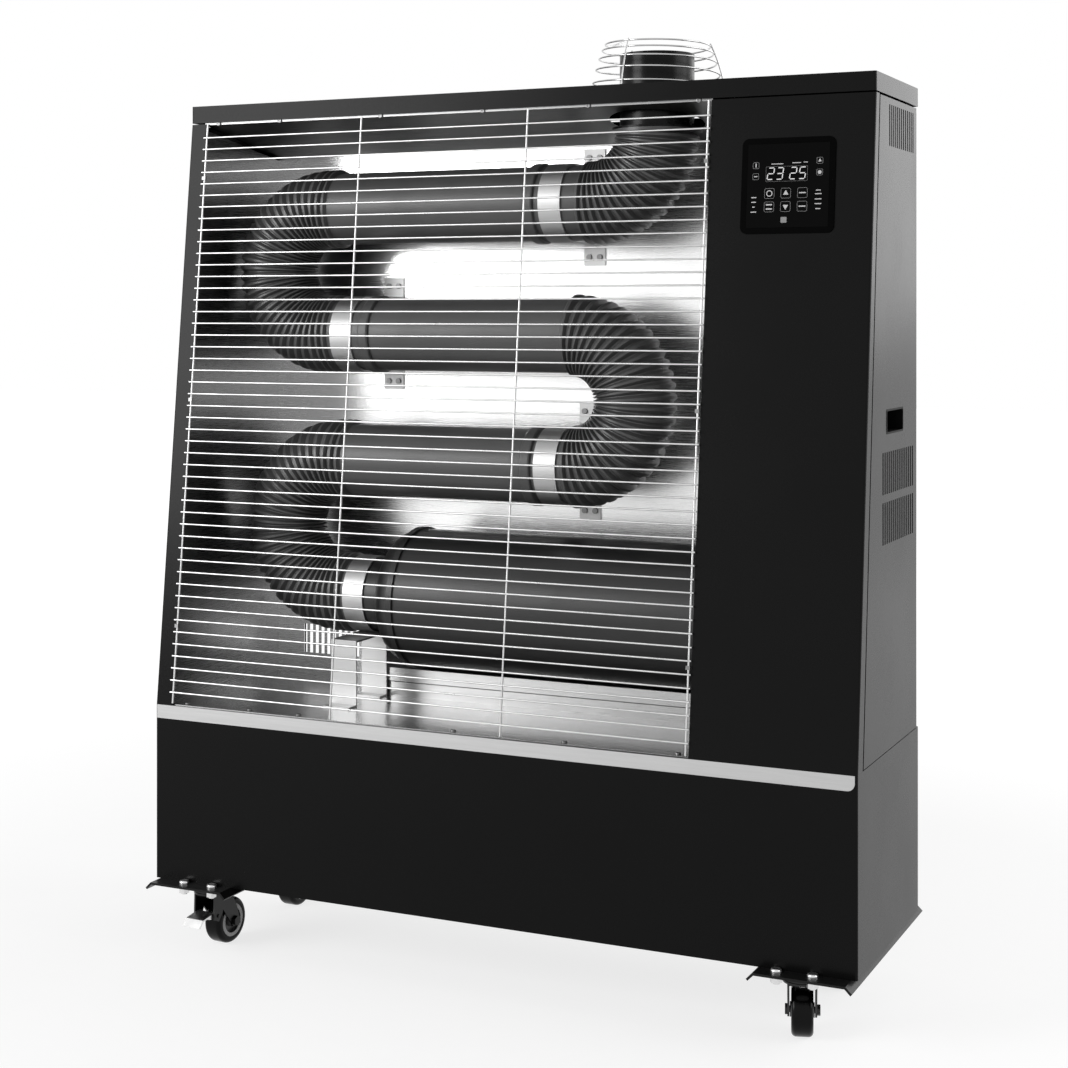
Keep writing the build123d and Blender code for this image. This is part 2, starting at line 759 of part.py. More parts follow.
def exhaust_elbow():
    """Ribbed quarter bend from the top tube up to the flue, with a flange at its outlet."""
    z_in = row_heights[2]
    rib_pitch = math.pi / 2 * elbow_radius / ribs_in_elbow
    lead_ribs = 1
    lead = lead_ribs * rib_pitch
    x_bend = flue_x - elbow_radius
    arc_length = math.pi / 2 * elbow_radius

    def place(distance):
        if distance < lead:
            return (x_bend - (lead - distance), z_in, 0.0)
        angle = (distance - lead) / elbow_radius
        return (x_bend + elbow_radius * math.sin(angle),
                z_in + elbow_radius - elbow_radius * math.cos(angle), angle)

    def ring(spot, radius):
        x, z, angle = spot
        plane = Plane(origin=(x, stack_y, z), x_dir=(0, 1, 0), z_dir=(math.cos(angle), 0, math.sin(angle)))
        return plane * Circle(radius)

    rings = [ring(place(0), tube_radius)]
    rings += rib_rings(place, rib_pitch, ribs_in_elbow + lead_ribs, ring)
    rings.append(ring(place(lead + arc_length), tube_radius))
    bend = loft(rings, ruled=True)
    collar = rod_x(tube_radius, joint_x[2], x_bend - lead, stack_y, z_in)
    z_out = z_in + elbow_radius
    flange = rod_z(tube_radius + 9.0, z_out, z_out + 4, flue_x, stack_y)
    core = rod_x(tube_radius - tube_wall, joint_x[2] - 1, x_bend, stack_y, z_in)
    section = Plane(origin=(x_bend, stack_y, z_in), x_dir=(0, 1, 0), z_dir=(1, 0, 0)) \
        * Circle(tube_radius - tube_wall)
    core += revolve(section, Axis((x_bend, stack_y, z_in + elbow_radius), (0, -1, 0)), 90)
    core += rod_z(tube_radius - tube_wall, z_out, z_out + 5, flue_x, stack_y)
    return bend + collar + flange - core


def flue_stub():
    """Pipe through the lid, with a flange that rests on the elbow's."""
    z0 = row_heights[2] + elbow_radius + 4.0
    z1 = lid_top + flue_rise
    pipe = rod_z(flue_radius, z0, z1, flue_x, stack_y)
    flange = rod_z(tube_radius + 9.0, z0, z0 + 3.0, flue_x, stack_y)
    bore = rod_z(flue_radius - flue_wall, z0 - 1, z1 + 1, flue_x, stack_y)
    return pipe + flange - bore


def guard_point(turns):
    """A point on the spiral, counted in turns down from its top."""
    radius = guard_top_radius + guard_radius_step * turns
    drop = guard_first_drop * turns + guard_drop_growth * turns * turns
    if turns < guard_end_turns:
        drop -= guard_end_lift * (1 - turns / guard_end_turns) ** 2
    angle = 2 * math.pi * turns + math.radians(guard_start_angle)
    return Vector(flue_x + radius * math.cos(angle), stack_y + radius * math.sin(angle),
                  lid_top + guard_top_rise - drop)


def biarc(start, start_way, finish, finish_way):
    """Two arcs that leave start and reach finish along the given directions."""
    gap = finish - start
    both = start_way + finish_way
    reach = 2 * (1 - start_way.dot(finish_way))
    along = gap.dot(both)
    step = (-along + math.sqrt(along * along + reach * gap.dot(gap))) / reach
    joint = (start + finish + (start_way - finish_way) * step) * 0.5
    joint_way = ((finish - finish_way * step) - (start + start_way * step)).normalized()
    return [TangentArc(start, joint, tangent=start_way), TangentArc(joint, finish, tangent=joint_way)]


def flue_guard():
    """Spiral of wire round the flue, held by upright ties that stand on the lid."""
    small = 1e-4
    quarter = 0.25
    count = int(guard_turns / quarter)
    stops = [0.0, 0.5 * guard_end_turns, guard_end_turns] + [quarter * (i + 1) for i in range(count)]
    arcs = []
    for a, b in zip(stops, stops[1:]):
        way_a = (guard_point(a + small) - guard_point(a - small)).normalized()
        way_b = (guard_point(b + small) - guard_point(b - small)).normalized()
        arcs += biarc(guard_point(a), way_a, guard_point(b), way_b)
    path = Wire([arc.edge() for arc in arcs])
    start_way = (guard_point(small) - guard_point(-small)).normalized()
    section = Plane(origin=guard_point(0), z_dir=start_way) * Circle(guard_wire_radius)
    spiral = sweep(section, path=path)
    report_gap("flue guard", [guard_point(i / 36) for i in range(int(guard_turns * 36))],
               guard_wire_radius, 24)
    ties = []
    for k in range(guard_ties):
        angle = math.radians(guard_tie_angle + 360.0 * k / guard_ties)
        ties.append(guard_tie(angle))
    return [spiral] + ties


def guard_tie(angle):
    """Wire on the outside of the turns, bent in one arc from the lid to the top turn."""
    out = 2 * guard_wire_radius + 0.15
    stations = []
    for turns in (guard_turns, guard_turns * 0.55, 0.0):
        radius = guard_top_radius + guard_radius_step * turns + out
        z = lid_top + guard_top_rise - guard_first_drop * turns - guard_drop_growth * turns * turns
        stations.append(Vector(flue_x + radius * math.cos(angle), stack_y + radius * math.sin(angle), z))
    low, middle, top = stations
    low = Vector(low.X, low.Y, lid_top + 0.2)
    path = ThreePointArc(low, middle, top)
    section = Plane(origin=path @ 0, z_dir=path % 0) * Circle(guard_wire_radius)
    return sweep(section, path=path)


def report_gap(name, points, radius, skip):
    """Print the least gap of a wound wire to itself."""
    least = 1e9
    for i, a in enumerate(points):
        for b in points[i + skip:]:
            least = min(least, (a - b).length)
    print(name, "least gap to itself", round(least - 2 * radius, 2), "mm")


def clamp_bands():
    """Bright straps over the joints: three saddles screwed to the reflector and one closed band."""
    inside = tube_radius + fit_gap
    outside = inside + band_thickness
    bands = [inlet_band(inside, outside)]
    for x, z in saddle_spots():
        x0 = x - band_width / 2
        x1 = x + band_width / 2
        strap = rod_x(outside, x0, x1, stack_y, z)
        strap += block(x0, x1, stack_y, reflector_y, z - outside, z + outside)
        strap -= rod_x(inside, x0 - 1, x1 + 1, stack_y, z)
        strap -= block(x0 - 1, x1 + 1, stack_y, reflector_y + 1, z - inside, z + inside)
        for side in (-1, 1):
            z_lo = min(z + side * inside, z + side * saddle_foot)
            z_hi = max(z + side * inside, z + side * saddle_foot)
            strap += block(x0, x1, reflector_y - band_thickness, reflector_y, z_lo, z_hi)
        for x_screw, z_screw in saddle_screws(x, z):
            strap -= rod_y(screw_radius + 0.2, reflector_y - 5, reflector_y + 1, x_screw, z_screw)
        bands.append(strap)
    return bands


def inlet_band(inside, outside):
    """Closed band at the chamber's inlet, bolted through two ears at the back."""
    x0 = inlet_joint_x - band_width / 2
    x1 = inlet_joint_x + band_width / 2
    z = chamber_z
    ear_reach = 14.0
    ear_thick = 3.0
    ear_gap = 4.0
    ring = rod_x(outside, x0, x1, stack_y, z)
    for side in (-1, 1):
        z_ear = z + side * (ear_gap + ear_thick) / 2
        ring += block(x0 + 4, x1 - 4, stack_y + inside + 1, stack_y + outside + ear_reach,
                      z_ear - ear_thick / 2, z_ear + ear_thick / 2)
    split = block(x0 - 1, x1 + 1, stack_y, stack_y + outside + ear_reach + 1,
                  z - ear_gap / 2, z + ear_gap / 2)
    bolt = rod_z(2.5, z - ear_gap / 2 - ear_thick - 3, z + ear_gap / 2 + ear_thick + 3,
                 inlet_joint_x, stack_y + outside + ear_reach * 0.55)
    core = rod_x(inside, x0 - 1, x1 + 1, stack_y, z)
    return ring - core - split + bolt


def saddle_spots():
    return list(zip(joint_x, row_heights))


def saddle_screws(x, z):
    """Two screws above and two below each tube."""
    return [(x + dx, z + dz) for dx in (-8, 8) for dz in (-saddle_screw, saddle_screw)]


def reflector_screws():
    """Two screws near the reflector's left edge."""
    return [(cavity_left_x + 30.0, base_top + rise) for rise in (0.13 * upper_height, 0.65 * upper_height)]


def chamber_support():
    """Bridge that carries the chamber's inlet, standing on the cavity floor."""
    strip = 2.5
    width = 40.0
    x0 = inlet_joint_x - width / 2 + 4
    x1 = x0 + width
    y_front = stack_y - 83.0
    y_rear = deflector_y - 2.5
    foot = 22.0
    z0 = base_top + liner_sheet
    z_top = chamber_z - tube_radius - fit_gap - band_thickness - fit_gap
    bridge = block(x0, x1, y_front, y_rear, z_top - strip, z_top)
    bridge += block(x0, x1, y_front, y_front + strip, z0, z_top)
    bridge += block(x0, x1, y_rear - strip, y_rear, z0, z_top)
    bridge += block(x0, x1, y_front - foot, y_front + strip, z0, z0 + strip)
    bridge += block(x0, x1, y_rear - foot, y_rear, z0, z0 + strip)
    return bridge


# Front wire guard and screws

def wire_guard():
    """Welded mesh of straight rods, lying just off the leaning front."""
    length = guard_right_x - guard_left_x
    slope_length = math.hypot(front_setback, upper_height)
    out = guard_upright_radius + 0.05
    step = length / (guard_uprights - 1)
    rods = []
    for i in range(guard_uprights):
        x = guard_left_x + i * step
        rods.append(on_front(x, slope_length / 2, out) * Rot(90, 0, 0)
                    * Cylinder(guard_upright_radius, slope_length - 6))
    weld = 0.5
    lift = out + guard_upright_radius + guard_rod_radius - weld
    row_step = guard_pitch / math.cos(lean)
    first = guard_first_row / math.cos(lean)
    middle_x = (guard_left_x + guard_right_x) / 2
    for i in range(guard_rows):
        rods.append(on_front(middle_x, first + i * row_step, lift) * Rot(0, 90, 0)
                    * Cylinder(guard_rod_radius, length + 2 * guard_overhang))
    mesh = rods[0].fuse(*rods[1:])
    return mesh


def guard_clips():
    """Small staples that hold the guard's end rods to the casing, between its rows."""
    clips = []
    clip_length = 5.0
    clip_sheet = 1.2
    channel = guard_upright_radius + 0.15
    row_step = guard_pitch / math.cos(lean)
    first = guard_first_row / math.cos(lean)
    top = 2 * channel + clip_sheet
    for x in (guard_left_x, guard_right_x):
        for row in (5, 24, 43):
            spot = on_front(x, first + (row + 0.5) * row_step)
            hump = Pos(0, 0, top / 2) * Box(2 * (channel + clip_sheet), clip_length, top)
            slot = Pos(0, 0, channel - 1) * Box(2 * channel, clip_length + 2, 2 * channel + 2)
            clips.append(spot * (hump - slot))
    return clips


def casing_screws():
    """Screws that hold the saddles and the reflector."""
    screws = []
    length = 10.0
    for x, z in saddle_spots():
        for x_screw, z_screw in saddle_screws(x, z):
            screws.append(screw_y(x_screw, z_screw, reflector_y - band_thickness, length,
                                  screw_head, screw_radius, -1))
    for x, z in reflector_screws():
        screws.append(screw_y(x, z, reflector_y, length, screw_head, screw_radius, -1))
    return screws


# Control panel


def control_bezel():
    """Moulded tray that stands a little proud of the panel."""
    local = on_front(bezel_x, bezel_rise)
    rim = local * fillet((Pos(0, 0, bezel_proud / 2) * Box(bezel_size, bezel_size, bezel_proud))
                         .edges().filter_by(Axis.Z), 9.0)
    body_size = bezel_opening - 2 * fit_gap
    body = local * (Pos(0, 0, -bezel_depth / 2) * Box(body_size, body_size, bezel_depth))
    hollow_size = body_size - 2 * bezel_wall
    hollow = local * (Pos(0, 0, -bezel_depth / 2) * Box(hollow_size, hollow_size, bezel_depth + 8))
    posts = []
    for sx in (-1, 1):
        for sy in (-1, 1):
            spot = hollow_size / 2 - 1.5
            posts.append(local * (Pos(sx * spot, sy * spot, -8.0) * Cylinder(3.0, 12.0)))
    tray = rim + body - hollow
    for post in posts:
        tray += post
    return tray


def control_glass():
    """Printed touch panel that fills the bezel."""
    local = on_front(bezel_x, bezel_rise)
    size = bezel_opening - 2 * fit_gap - 2 * bezel_wall - 2 * 0.2
    return local * (Pos(0, 0, bezel_proud - 1.5) * Box(size, size, 3.0))


def circuit_board():
    """Board behind the touch panel, with its relays and terminal block."""
    local = on_front(bezel_x, bezel_rise)
    size = bezel_opening - 2 * fit_gap - 2 * bezel_wall - 2 * 0.5
    board = local * (Pos(0, 0, -15.0) * Box(size, size, 1.6))
    for dx in (-30.0, -6.0, 18.0):
        board += local * (Pos(dx, 20.0, -15.0 - 0.8 - 7.0) * Box(16.0, 19.0, 14.5))
    board += local * (Pos(0, -35.0, -15.0 - 0.8 - 5.0) * Box(70.0, 10.0, 10.5))
    return board


# Burner


def burner_housing():
    """Blower housing round the wheel, with a duct to the blast tube."""
    y0 = volute_front_y
    y1 = y0 + volute_width
    shell = rod_y(volute_radius, y0, y1, volute_x, volute_z)
    duct = block(duct_x0, volute_x, y0, y1, chamber_z - 34, chamber_z + 34)
    outer = shell + duct
    core = rod_y(volute_radius - volute_wall, y0 + volute_wall, y1 - volute_wall, volute_x, volute_z)
    core += block(duct_x0 - 1, volute_x, y0 + volute_wall, y1 - volute_wall, chamber_z - 34 + volute_wall,
                  chamber_z + 34 - volute_wall)
    eye = rod_y(blower_radius * 0.6, y1 - 2 * volute_wall, y1 + 1, volute_x, volute_z)
    shaft_hole = rod_y(shaft_radius + 3.0, y0 - 1, y0 + 2 * volute_wall, volute_x, volute_z)
    return outer - core - eye - shaft_hole


duct_x0 = 330.0


def burner_motor():
    """Motor on the front of the housing, with cooling fins and its shaft bore."""
    y1 = volute_front_y
    y0 = y1 - motor_length
    motor = rod_y(motor_radius, y0, y1 - 6, volute_x, volute_z)
    flange = rod_y(motor_radius + 8, y1 - 6, y1, volute_x, volute_z)
    fin_count = 16
    fin_thick = 2.0
    fin_rise = 4.0
    body = motor + flange
    for i in range(fin_count):
        angle = 360.0 * i / fin_count
        fin = Pos(volute_x, (y0 + y1) / 2 - 4, volute_z) * Rot(0, angle, 0) \
            * Pos(0, 0, motor_radius + fin_rise / 2 - 1) * Box(fin_thick, motor_length - 24, fin_rise + 2)
        body += fin
    bore = rod_y(shaft_radius + shaft_clearance, y1 - 40, y1 + 1, volute_x, volute_z)
    return body - bore


def blower_wheel():
    """Squirrel-cage wheel on the motor's shaft."""
    y0 = volute_front_y + volute_wall + 5
    y1 = volute_front_y + volute_width - volute_wall - 5
    back = rod_y(blower_radius, y0, y0 + 2, volute_x, volute_z)
    ring = rod_y(blower_radius, y1 - 3, y1, volute_x, volute_z) \
        - rod_y(blower_radius - 10, y1 - 4, y1 + 1, volute_x, volute_z)
    hub = rod_y(shaft_radius + 6, y0, y0 + 20, volute_x, volute_z)
    shaft = rod_y(shaft_radius, volute_front_y - 38, volute_front_y + volute_width + pump_standoff + 8,
                  volute_x, volute_z)
    wheel = back + ring + hub + shaft
    for i in range(blower_blades):
        angle = 360.0 * i / blower_blades
        blade = Pos(volute_x, (y0 + y1) / 2, volute_z) * Rot(0, angle, 0) \
            * Pos(0, 0, blower_radius - 5) * Rot(0, 35, 0) * Box(1.2, y1 - y0 - 1, 8)
        wheel += blade
    return wheel


def blast_tube():
    """Steel tube that carries air and flame into the chamber, bolted on by a flange."""
    x0 = chamber_right_x - 25
    tube = rod_x(blast_radius, x0, duct_x0, stack_y, chamber_z)
    flange = rod_x(blast_radius + 22, chamber_right_x, chamber_right_x + 5, stack_y, chamber_z)
    plate = block(duct_x0 - 3, duct_x0, stack_y - 44, stack_y + 44, chamber_z - 44, chamber_z + 44)
    bore = rod_x(blast_radius - 2, x0 - 1, duct_x0 + 1, stack_y, chamber_z)
    return tube + flange + plate - bore


def fuel_pump():
    """Gear pump driven by the blower's shaft, on posts that leave the air inlet free."""
    y_face = volute_front_y + volute_width
    y0 = y_face + pump_standoff
    plate = rod_y(52.0, y0, y0 + 4, volute_x, volute_z)
    body = block(volute_x - 22, volute_x + 22, y0, y0 + pump_depth, volute_z - 20, volute_z + 26)
    cover = rod_y(16, y0 + pump_depth, y0 + pump_depth + 8, volute_x, volute_z + 3)
    port = rod_z(fuel_line_radius + 3, volute_z - 26, volute_z - 20, volute_x, outlet_y)
    pump = plate + body + cover + port
    for i in range(3):
        angle = math.radians(90 + 120 * i)
        pump += rod_y(4.0, y_face, y0 + 1, volute_x + 45 * math.cos(angle), volute_z + 45 * math.sin(angle))
    pump -= rod_z(fuel_line_radius + 0.1, volute_z - 27, volute_z - 12, volute_x, outlet_y)
    return pump - rod_y(shaft_radius + shaft_clearance, y0 - 1, y0 + 10, volute_x, volute_z)


def fuel_line():
    """Copper pipe from the tank to the pump, with an inline filter."""
    z0 = tank_top - tank_wall - 1
    z1 = volute_z - 14
    pipe = rod_z(fuel_line_radius, z0, z1, outlet_x, outlet_y)
    pipe_bore = rod_z(fuel_line_radius - 1, z0 - 1, z1 + 1, outlet_x, outlet_y)
    nut = rod_z(7.0, tank_top, tank_top + 6, outlet_x, outlet_y)
    filter_body = rod_z(13.0, tank_top + 18, tank_top + 60, outlet_x, outlet_y)
    return pipe + nut + filter_body - pipe_bore


def ignition_transformer():
    """Spark transformer on the bulkhead above the chamber."""
    x0 = control_side_x + 3.0 + sheet
    body = block(x0, x0 + 52, stack_y - 50, stack_y + 45, chamber_z + 140, chamber_z + 205)
    body = fillet(body.edges().filter_by(Axis.X), 6.0)
    for dy in (-22, 17):
        body += rod_z(6.0, chamber_z + 120, chamber_z + 141, x0 + 26, stack_y + dy)
    return body


def cable_gland():
    """Gland for the mains cord: body through the rear panel, hexagon outside, nut inside."""
    outer = rod_y(gland_radius, back_y - 12, back_y + 6, gland_x, gland_z)
    hexagon = Pos(gland_x, back_y + 4, gland_z) * Rot(90, 0, 0) * extrude(RegularPolygon(13.0, 6), 4, both=True)
    dome = rod_y(11.0, back_y + 6, back_y + 20, gland_x, gland_z)
    nut = Pos(gland_x, back_y - sheet - 3, gland_z) * Rot(90, 0, 0) \
        * extrude(RegularPolygon(14.0, 6), 3 - 0.01, both=True)
    bore = rod_y(cord_radius, back_y - 20, back_y + 30, gland_x, gland_z)
    return outer + hexagon + dome + nut - bore


# Castors

def castor_rails():
    """Two channels under the base, front to back, with flared lips."""
    rails = []
    t = rail_sheet
    for side in (-1, 1):
        outer_x = right_x
        inner_x = right_x - rail_width
        bend = t * math.tan(math.radians(22.5))
        thin = t * math.sqrt(0.5)
        section = [
            (inner_x, base_bottom - rail_lip), (inner_x + rail_lip, base_bottom),
            (outer_x - rail_lip, base_bottom), (outer_x, base_bottom - rail_lip),
            (outer_x - thin, base_bottom - rail_lip - thin), (outer_x - rail_lip - bend, base_bottom - t),
            (inner_x + rail_lip + bend, base_bottom - t), (inner_x + thin, base_bottom - rail_lip - thin),
        ]
        section = [(side * x, z) for x, z in section]
        rail = bar_y(section, front_y - rail_overhang, back_y + rail_overhang)
        for x, y, inside in bolt_places():
            if x * side > 0:
                rail -= rod_z(bolt_radius + bolt_clearance, base_bottom - 2 * t, base_bottom + 1, x, y)
        rails.append(rail)
    return rails


def castor_bolts():
    """Pan-head bolts down through the rails, each with a nut under the castor plate."""
    bolts = []
    for x, y, inside in bolt_places():
        seat = base_bottom + sheet if inside else base_bottom
        head = rod_z(7.0, seat, seat + 4.5, x, y)
        rim = [e for e in head.edges() if e.center().Z > seat + 4 and e.length > 20]
        head = fillet(rim, 3.0)
        shank = rod_z(bolt_radius, plate_bottom - 9.0, seat, x, y)
        nut = Pos(x, y, plate_bottom - 3.5) * extrude(RegularPolygon(7.5, 6), 3.5, both=True)
        bolts.append(head + shank + nut)
    return bolts


def castor_plates():
    """Bolted top plate of each castor, with the upper race and its kingpin."""
    plates = []
    for name, x, y, brake, turn in castor_places():
        plate = Pos(x, y, (plate_top + plate_bottom) / 2) * Box(62.0, 84.0, castor_plate_sheet)
        plate = fillet(plate.edges().filter_by(Axis.Z), 6.0)
        for sx in (-1, 1):
            for sy in (-1, 1):
                plate -= rod_z(bolt_radius + bolt_clearance, plate_bottom - 1, plate_top + 1,
                               x + sx * castor_bolt_x / 2, y + sy * castor_bolt_y / 2)
        cup = rod_z(cup_radius - 9, cup_bottom, plate_bottom, x, y)
        head = rod_z(pin_radius + 3, fork_crown - fork_sheet - 3.0 - fit_gap, fork_crown - fork_sheet - fit_gap,
                     x, y)
        pin = rod_z(pin_radius, fork_crown - fork_sheet - 2.0, cup_bottom, x, y)
        plates.append(plate + cup + pin + head)
    return plates


def local_fork():
    """Fork with the wheel behind the swivel axis, in the castor's own frame."""
    half_gap = tyre_width / 2 + 2.0
    crown = rod_z(cup_radius, fork_crown, fork_top, 0, 0)
    groove = rod_z(cup_radius + 1, fork_crown + 2.5, fork_crown + 3.5, 0, 0) \
        - rod_z(cup_radius - 1.5, fork_crown + 2, fork_crown + 4, 0, 0)
    crown = crown - groove
    bridge = block(-half_gap - fork_sheet, half_gap + fork_sheet, -15.0, 19.0,
                   fork_crown - fork_sheet, fork_crown)
    fork = crown + bridge
    for side in (-1, 1):
        x0 = side * half_gap
        x1 = side * (half_gap + fork_sheet)
        leg = [(-15.0, fork_crown), (19.0, fork_crown), (34.0, 52.0), (castor_trail + 9.0, wheel_radius + 2),
               (castor_trail + 5, wheel_radius - 7), (castor_trail - 5, wheel_radius - 7.5),
               (castor_trail - 9.0, wheel_radius - 1)]
        fork += bar_x(leg, min(x0, x1), max(x0, x1))
    fork -= rod_z(pin_radius + 0.08, fork_crown - 10, fork_top + 1, 0, 0)
    fork -= rod_x(axle_radius + 0.05, -40, 40, castor_trail, wheel_radius)
    return fork


def brake_lobes():
    """Ears on the fork that carry the brake pedal's pin."""
    half_gap = tyre_width / 2 + 2.0
    ears = []
    for side in (-1, 1):
        x0 = side * half_gap
        x1 = side * (half_gap + fork_sheet)
        lobe = [(-15.0, fork_crown - 1), (8.0, fork_crown - 1), (2.0, 50.0), (-6.0, 40.0), (-16.0, 44.0)]
        ears.append(bar_x(lobe, min(x0, x1), max(x0, x1)))
    return ears


def local_axle():
    """Axle bolt with its head and nut outside the fork."""
    half = tyre_width / 2 + 2.0 + fork_sheet
    bolt = rod_x(axle_radius, -half - 3.0, half + 4.0, castor_trail, wheel_radius)
    head = rod_x(6.5, -half - 3.0, -half, castor_trail, wheel_radius)
    nut = Pos(half + 2.0, castor_trail, wheel_radius) * Rot(0, 90, 0) * extrude(RegularPolygon(7.0, 6), 2.0, both=True)
    return bolt + head + nut


def local_hub():
    """Wheel centre with a raised rim and a dished web."""
    half = tyre_width / 2
    rim = rod_x(rim_radius, -half + 1.0, half - 1.0, castor_trail, wheel_radius)
    dish = rod_x(rim_radius - 3.0, half - 6.0, half, castor_trail, wheel_radius) \
        + rod_x(rim_radius - 3.0, -half, -half + 6.0, castor_trail, wheel_radius)
    boss = rod_x(9.0, -half - 1.5, half + 1.5, castor_trail, wheel_radius)
    bore = rod_x(axle_radius + 0.06, -half - 3, half + 3, castor_trail, wheel_radius)
    return rim - dish + boss - bore


def local_tyre():
    """Tyre with rounded shoulders, moulded on the rim."""
    half = tyre_width / 2
    tyre = rod_x(wheel_radius, -half, half, castor_trail, wheel_radius)
    shoulders = [e for e in tyre.edges() if e.length > 5 * wheel_radius]
    tyre = fillet(shoulders, 6.0)
    return tyre - rod_x(rim_radius + 0.02, -half - 1, half + 1, castor_trail, wheel_radius)


def local_pedal():
    """Brake pedal on a pin through the fork's ears."""
    half_gap = tyre_width / 2 + 2.0
    width = tyre_width + 2 * 1.2
    sheet_thick = 2.0
    tread = [(brake_pin_y - 4, brake_pin_z + 5), (brake_pin_y - 30, brake_pin_z + 1),
             (brake_pin_y - 38, brake_pin_z - 8), (brake_pin_y - 36, brake_pin_z - 9),
             (brake_pin_y - 29, brake_pin_z - 1), (brake_pin_y - 4, brake_pin_z + 3)]
    pedal = bar_x(tread, -width / 2, width / 2)
    for side in (-1, 1):
        x0 = side * (width / 2)
        x1 = side * (width / 2 - sheet_thick)
        ear = [(brake_pin_y - 24, brake_pin_z + 1), (brake_pin_y - 4, brake_pin_z - 5),
               (brake_pin_y + 4.5, brake_pin_z - 4), (brake_pin_y + 4.5, brake_pin_z + 4),
               (brake_pin_y - 5, brake_pin_z + 5)]
        pedal += bar_x(ear, min(x0, x1), max(x0, x1))
    return pedal - rod_x(brake_pin_radius + 0.08, -40, 40, brake_pin_y, brake_pin_z)


def brake_pin():
    half = tyre_width / 2 + 2.0 + fork_sheet
    return rod_x(brake_pin_radius, -half - 1.5, half + 1.5, brake_pin_y, brake_pin_z)


def write_castors():
    for name, x, y, brake, turn in castor_places():
        seat = Pos(x, y, 0) * Rot(0, 0, turn)
        fork = local_fork()
        if brake:
            for ear in brake_lobes():
                fork += ear
            fork -= rod_x(brake_pin_radius + 0.02, -40, 40, brake_pin_y, brake_pin_z)
            fork -= rod_z(pin_radius + 0.08, fork_crown - 10, fork_top + 1, 0, 0)
            write("castor_fork_" + name, seat * fork, seat * local_axle(), seat * brake_pin())
            write("brake_pedal_" + name, seat * local_pedal())
        else:
            write("castor_fork_" + name, seat * fork, seat * local_axle())
        write("castor_hub_" + name, seat * local_hub())
        write("castor_tyre_" + name, seat * local_tyre())


def exchanger_tube(row):
    """Tube of one row with the bend that leads up into it."""
    heights = [chamber_z] + row_heights
    starts = [inlet_joint_x, joint_x[0], joint_x[1]]
    beads = [joint_x[0] - 29.5, joint_x[1] + 36.5, joint_x[2] - 32.5]
    side = 1 if row == 1 else -1
    return bend_tube(starts[row], bend_centre_x[row], heights[row], heights[row + 1], side,
                     joint_x[row], straight_ribs[row], beads[row])


def main():
    os.makedirs("parts", exist_ok=True)
    write("base_cabinet", base_cabinet())
    write("base_floor_pan", base_floor_pan())
    write("trim_strip", trim_strip())
    write("fuel_tank", fuel_tank())
    write("tank_bearers", *tank_bearers())
    write("filler_neck", filler_neck())
    write("filler_cap", filler_cap())
    write("left_side_panel", left_side_panel())
    write("front_panel", front_panel())
    write("rear_panel", rear_panel())
    write("top_cover", top_cover())
    write("service_door", service_door())
    write("door_grip", door_grip())
    write("door_hinge_pins", *door_hinge_pins())
    write("side_liner", side_liner())
    write("reflector", reflector())
    write("cavity_floor", cavity_floor())
    write("cavity_ceiling", cavity_ceiling())
    write("burner_bulkhead", burner_bulkhead())
    write("lower_deflector", lower_deflector())
    write("combustion_chamber", combustion_chamber())
    write("lower_exchanger_tube", exchanger_tube(0))
    write("middle_exchanger_tube", exchanger_tube(1))
    write("upper_exchanger_tube", exchanger_tube(2))
    write("exhaust_elbow", exhaust_elbow())
    write("flue_stub", flue_stub())
    write("flue_guard", *flue_guard())
    write("clamp_bands", *clamp_bands())
    write("chamber_support", chamber_support())
    write("wire_guard", wire_guard())
    write("guard_clips", *guard_clips())
    write("casing_screws", *casing_screws())
    write("control_bezel", control_bezel())
    write("control_glass", control_glass())
    write("circuit_board", circuit_board())
    write("burner_housing", burner_housing())
    write("burner_motor", burner_motor())
    write("blower_wheel", blower_wheel())
    write("blast_tube", blast_tube())
    write("fuel_pump", fuel_pump())
    write("fuel_line", fuel_line())
    write("ignition_transformer", ignition_transformer())
    write("cable_gland", cable_gland())
    write("castor_rails", *castor_rails())
    write("castor_bolts", *castor_bolts())
    write("castor_plates", *castor_plates())
    write_castors()
    print(len(written), "nodes written")


main()
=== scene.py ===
# %% [markdown]
# This lesson dresses a construction heater on castors. The solids of the heater are
# loaded first, as a fixed frame in metres, and everything made here stays around them.

# %% Load the frame
import json
import math
import bpy
import bmesh
from mathutils import Vector, Matrix


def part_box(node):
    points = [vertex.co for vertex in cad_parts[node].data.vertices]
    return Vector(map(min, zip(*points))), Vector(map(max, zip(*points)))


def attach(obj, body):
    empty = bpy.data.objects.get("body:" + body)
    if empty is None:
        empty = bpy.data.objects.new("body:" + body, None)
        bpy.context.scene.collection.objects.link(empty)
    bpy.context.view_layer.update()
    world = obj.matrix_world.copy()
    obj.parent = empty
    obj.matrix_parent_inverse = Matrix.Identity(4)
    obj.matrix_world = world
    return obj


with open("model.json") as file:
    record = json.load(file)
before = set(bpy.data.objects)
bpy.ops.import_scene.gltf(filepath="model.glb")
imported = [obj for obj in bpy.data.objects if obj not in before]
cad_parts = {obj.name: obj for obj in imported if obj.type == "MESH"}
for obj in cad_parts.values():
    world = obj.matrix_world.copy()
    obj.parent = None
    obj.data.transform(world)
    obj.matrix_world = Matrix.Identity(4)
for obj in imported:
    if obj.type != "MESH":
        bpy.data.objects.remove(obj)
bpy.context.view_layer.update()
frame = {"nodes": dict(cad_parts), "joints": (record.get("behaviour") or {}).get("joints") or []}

print("loaded", len(frame["nodes"]), "solids")

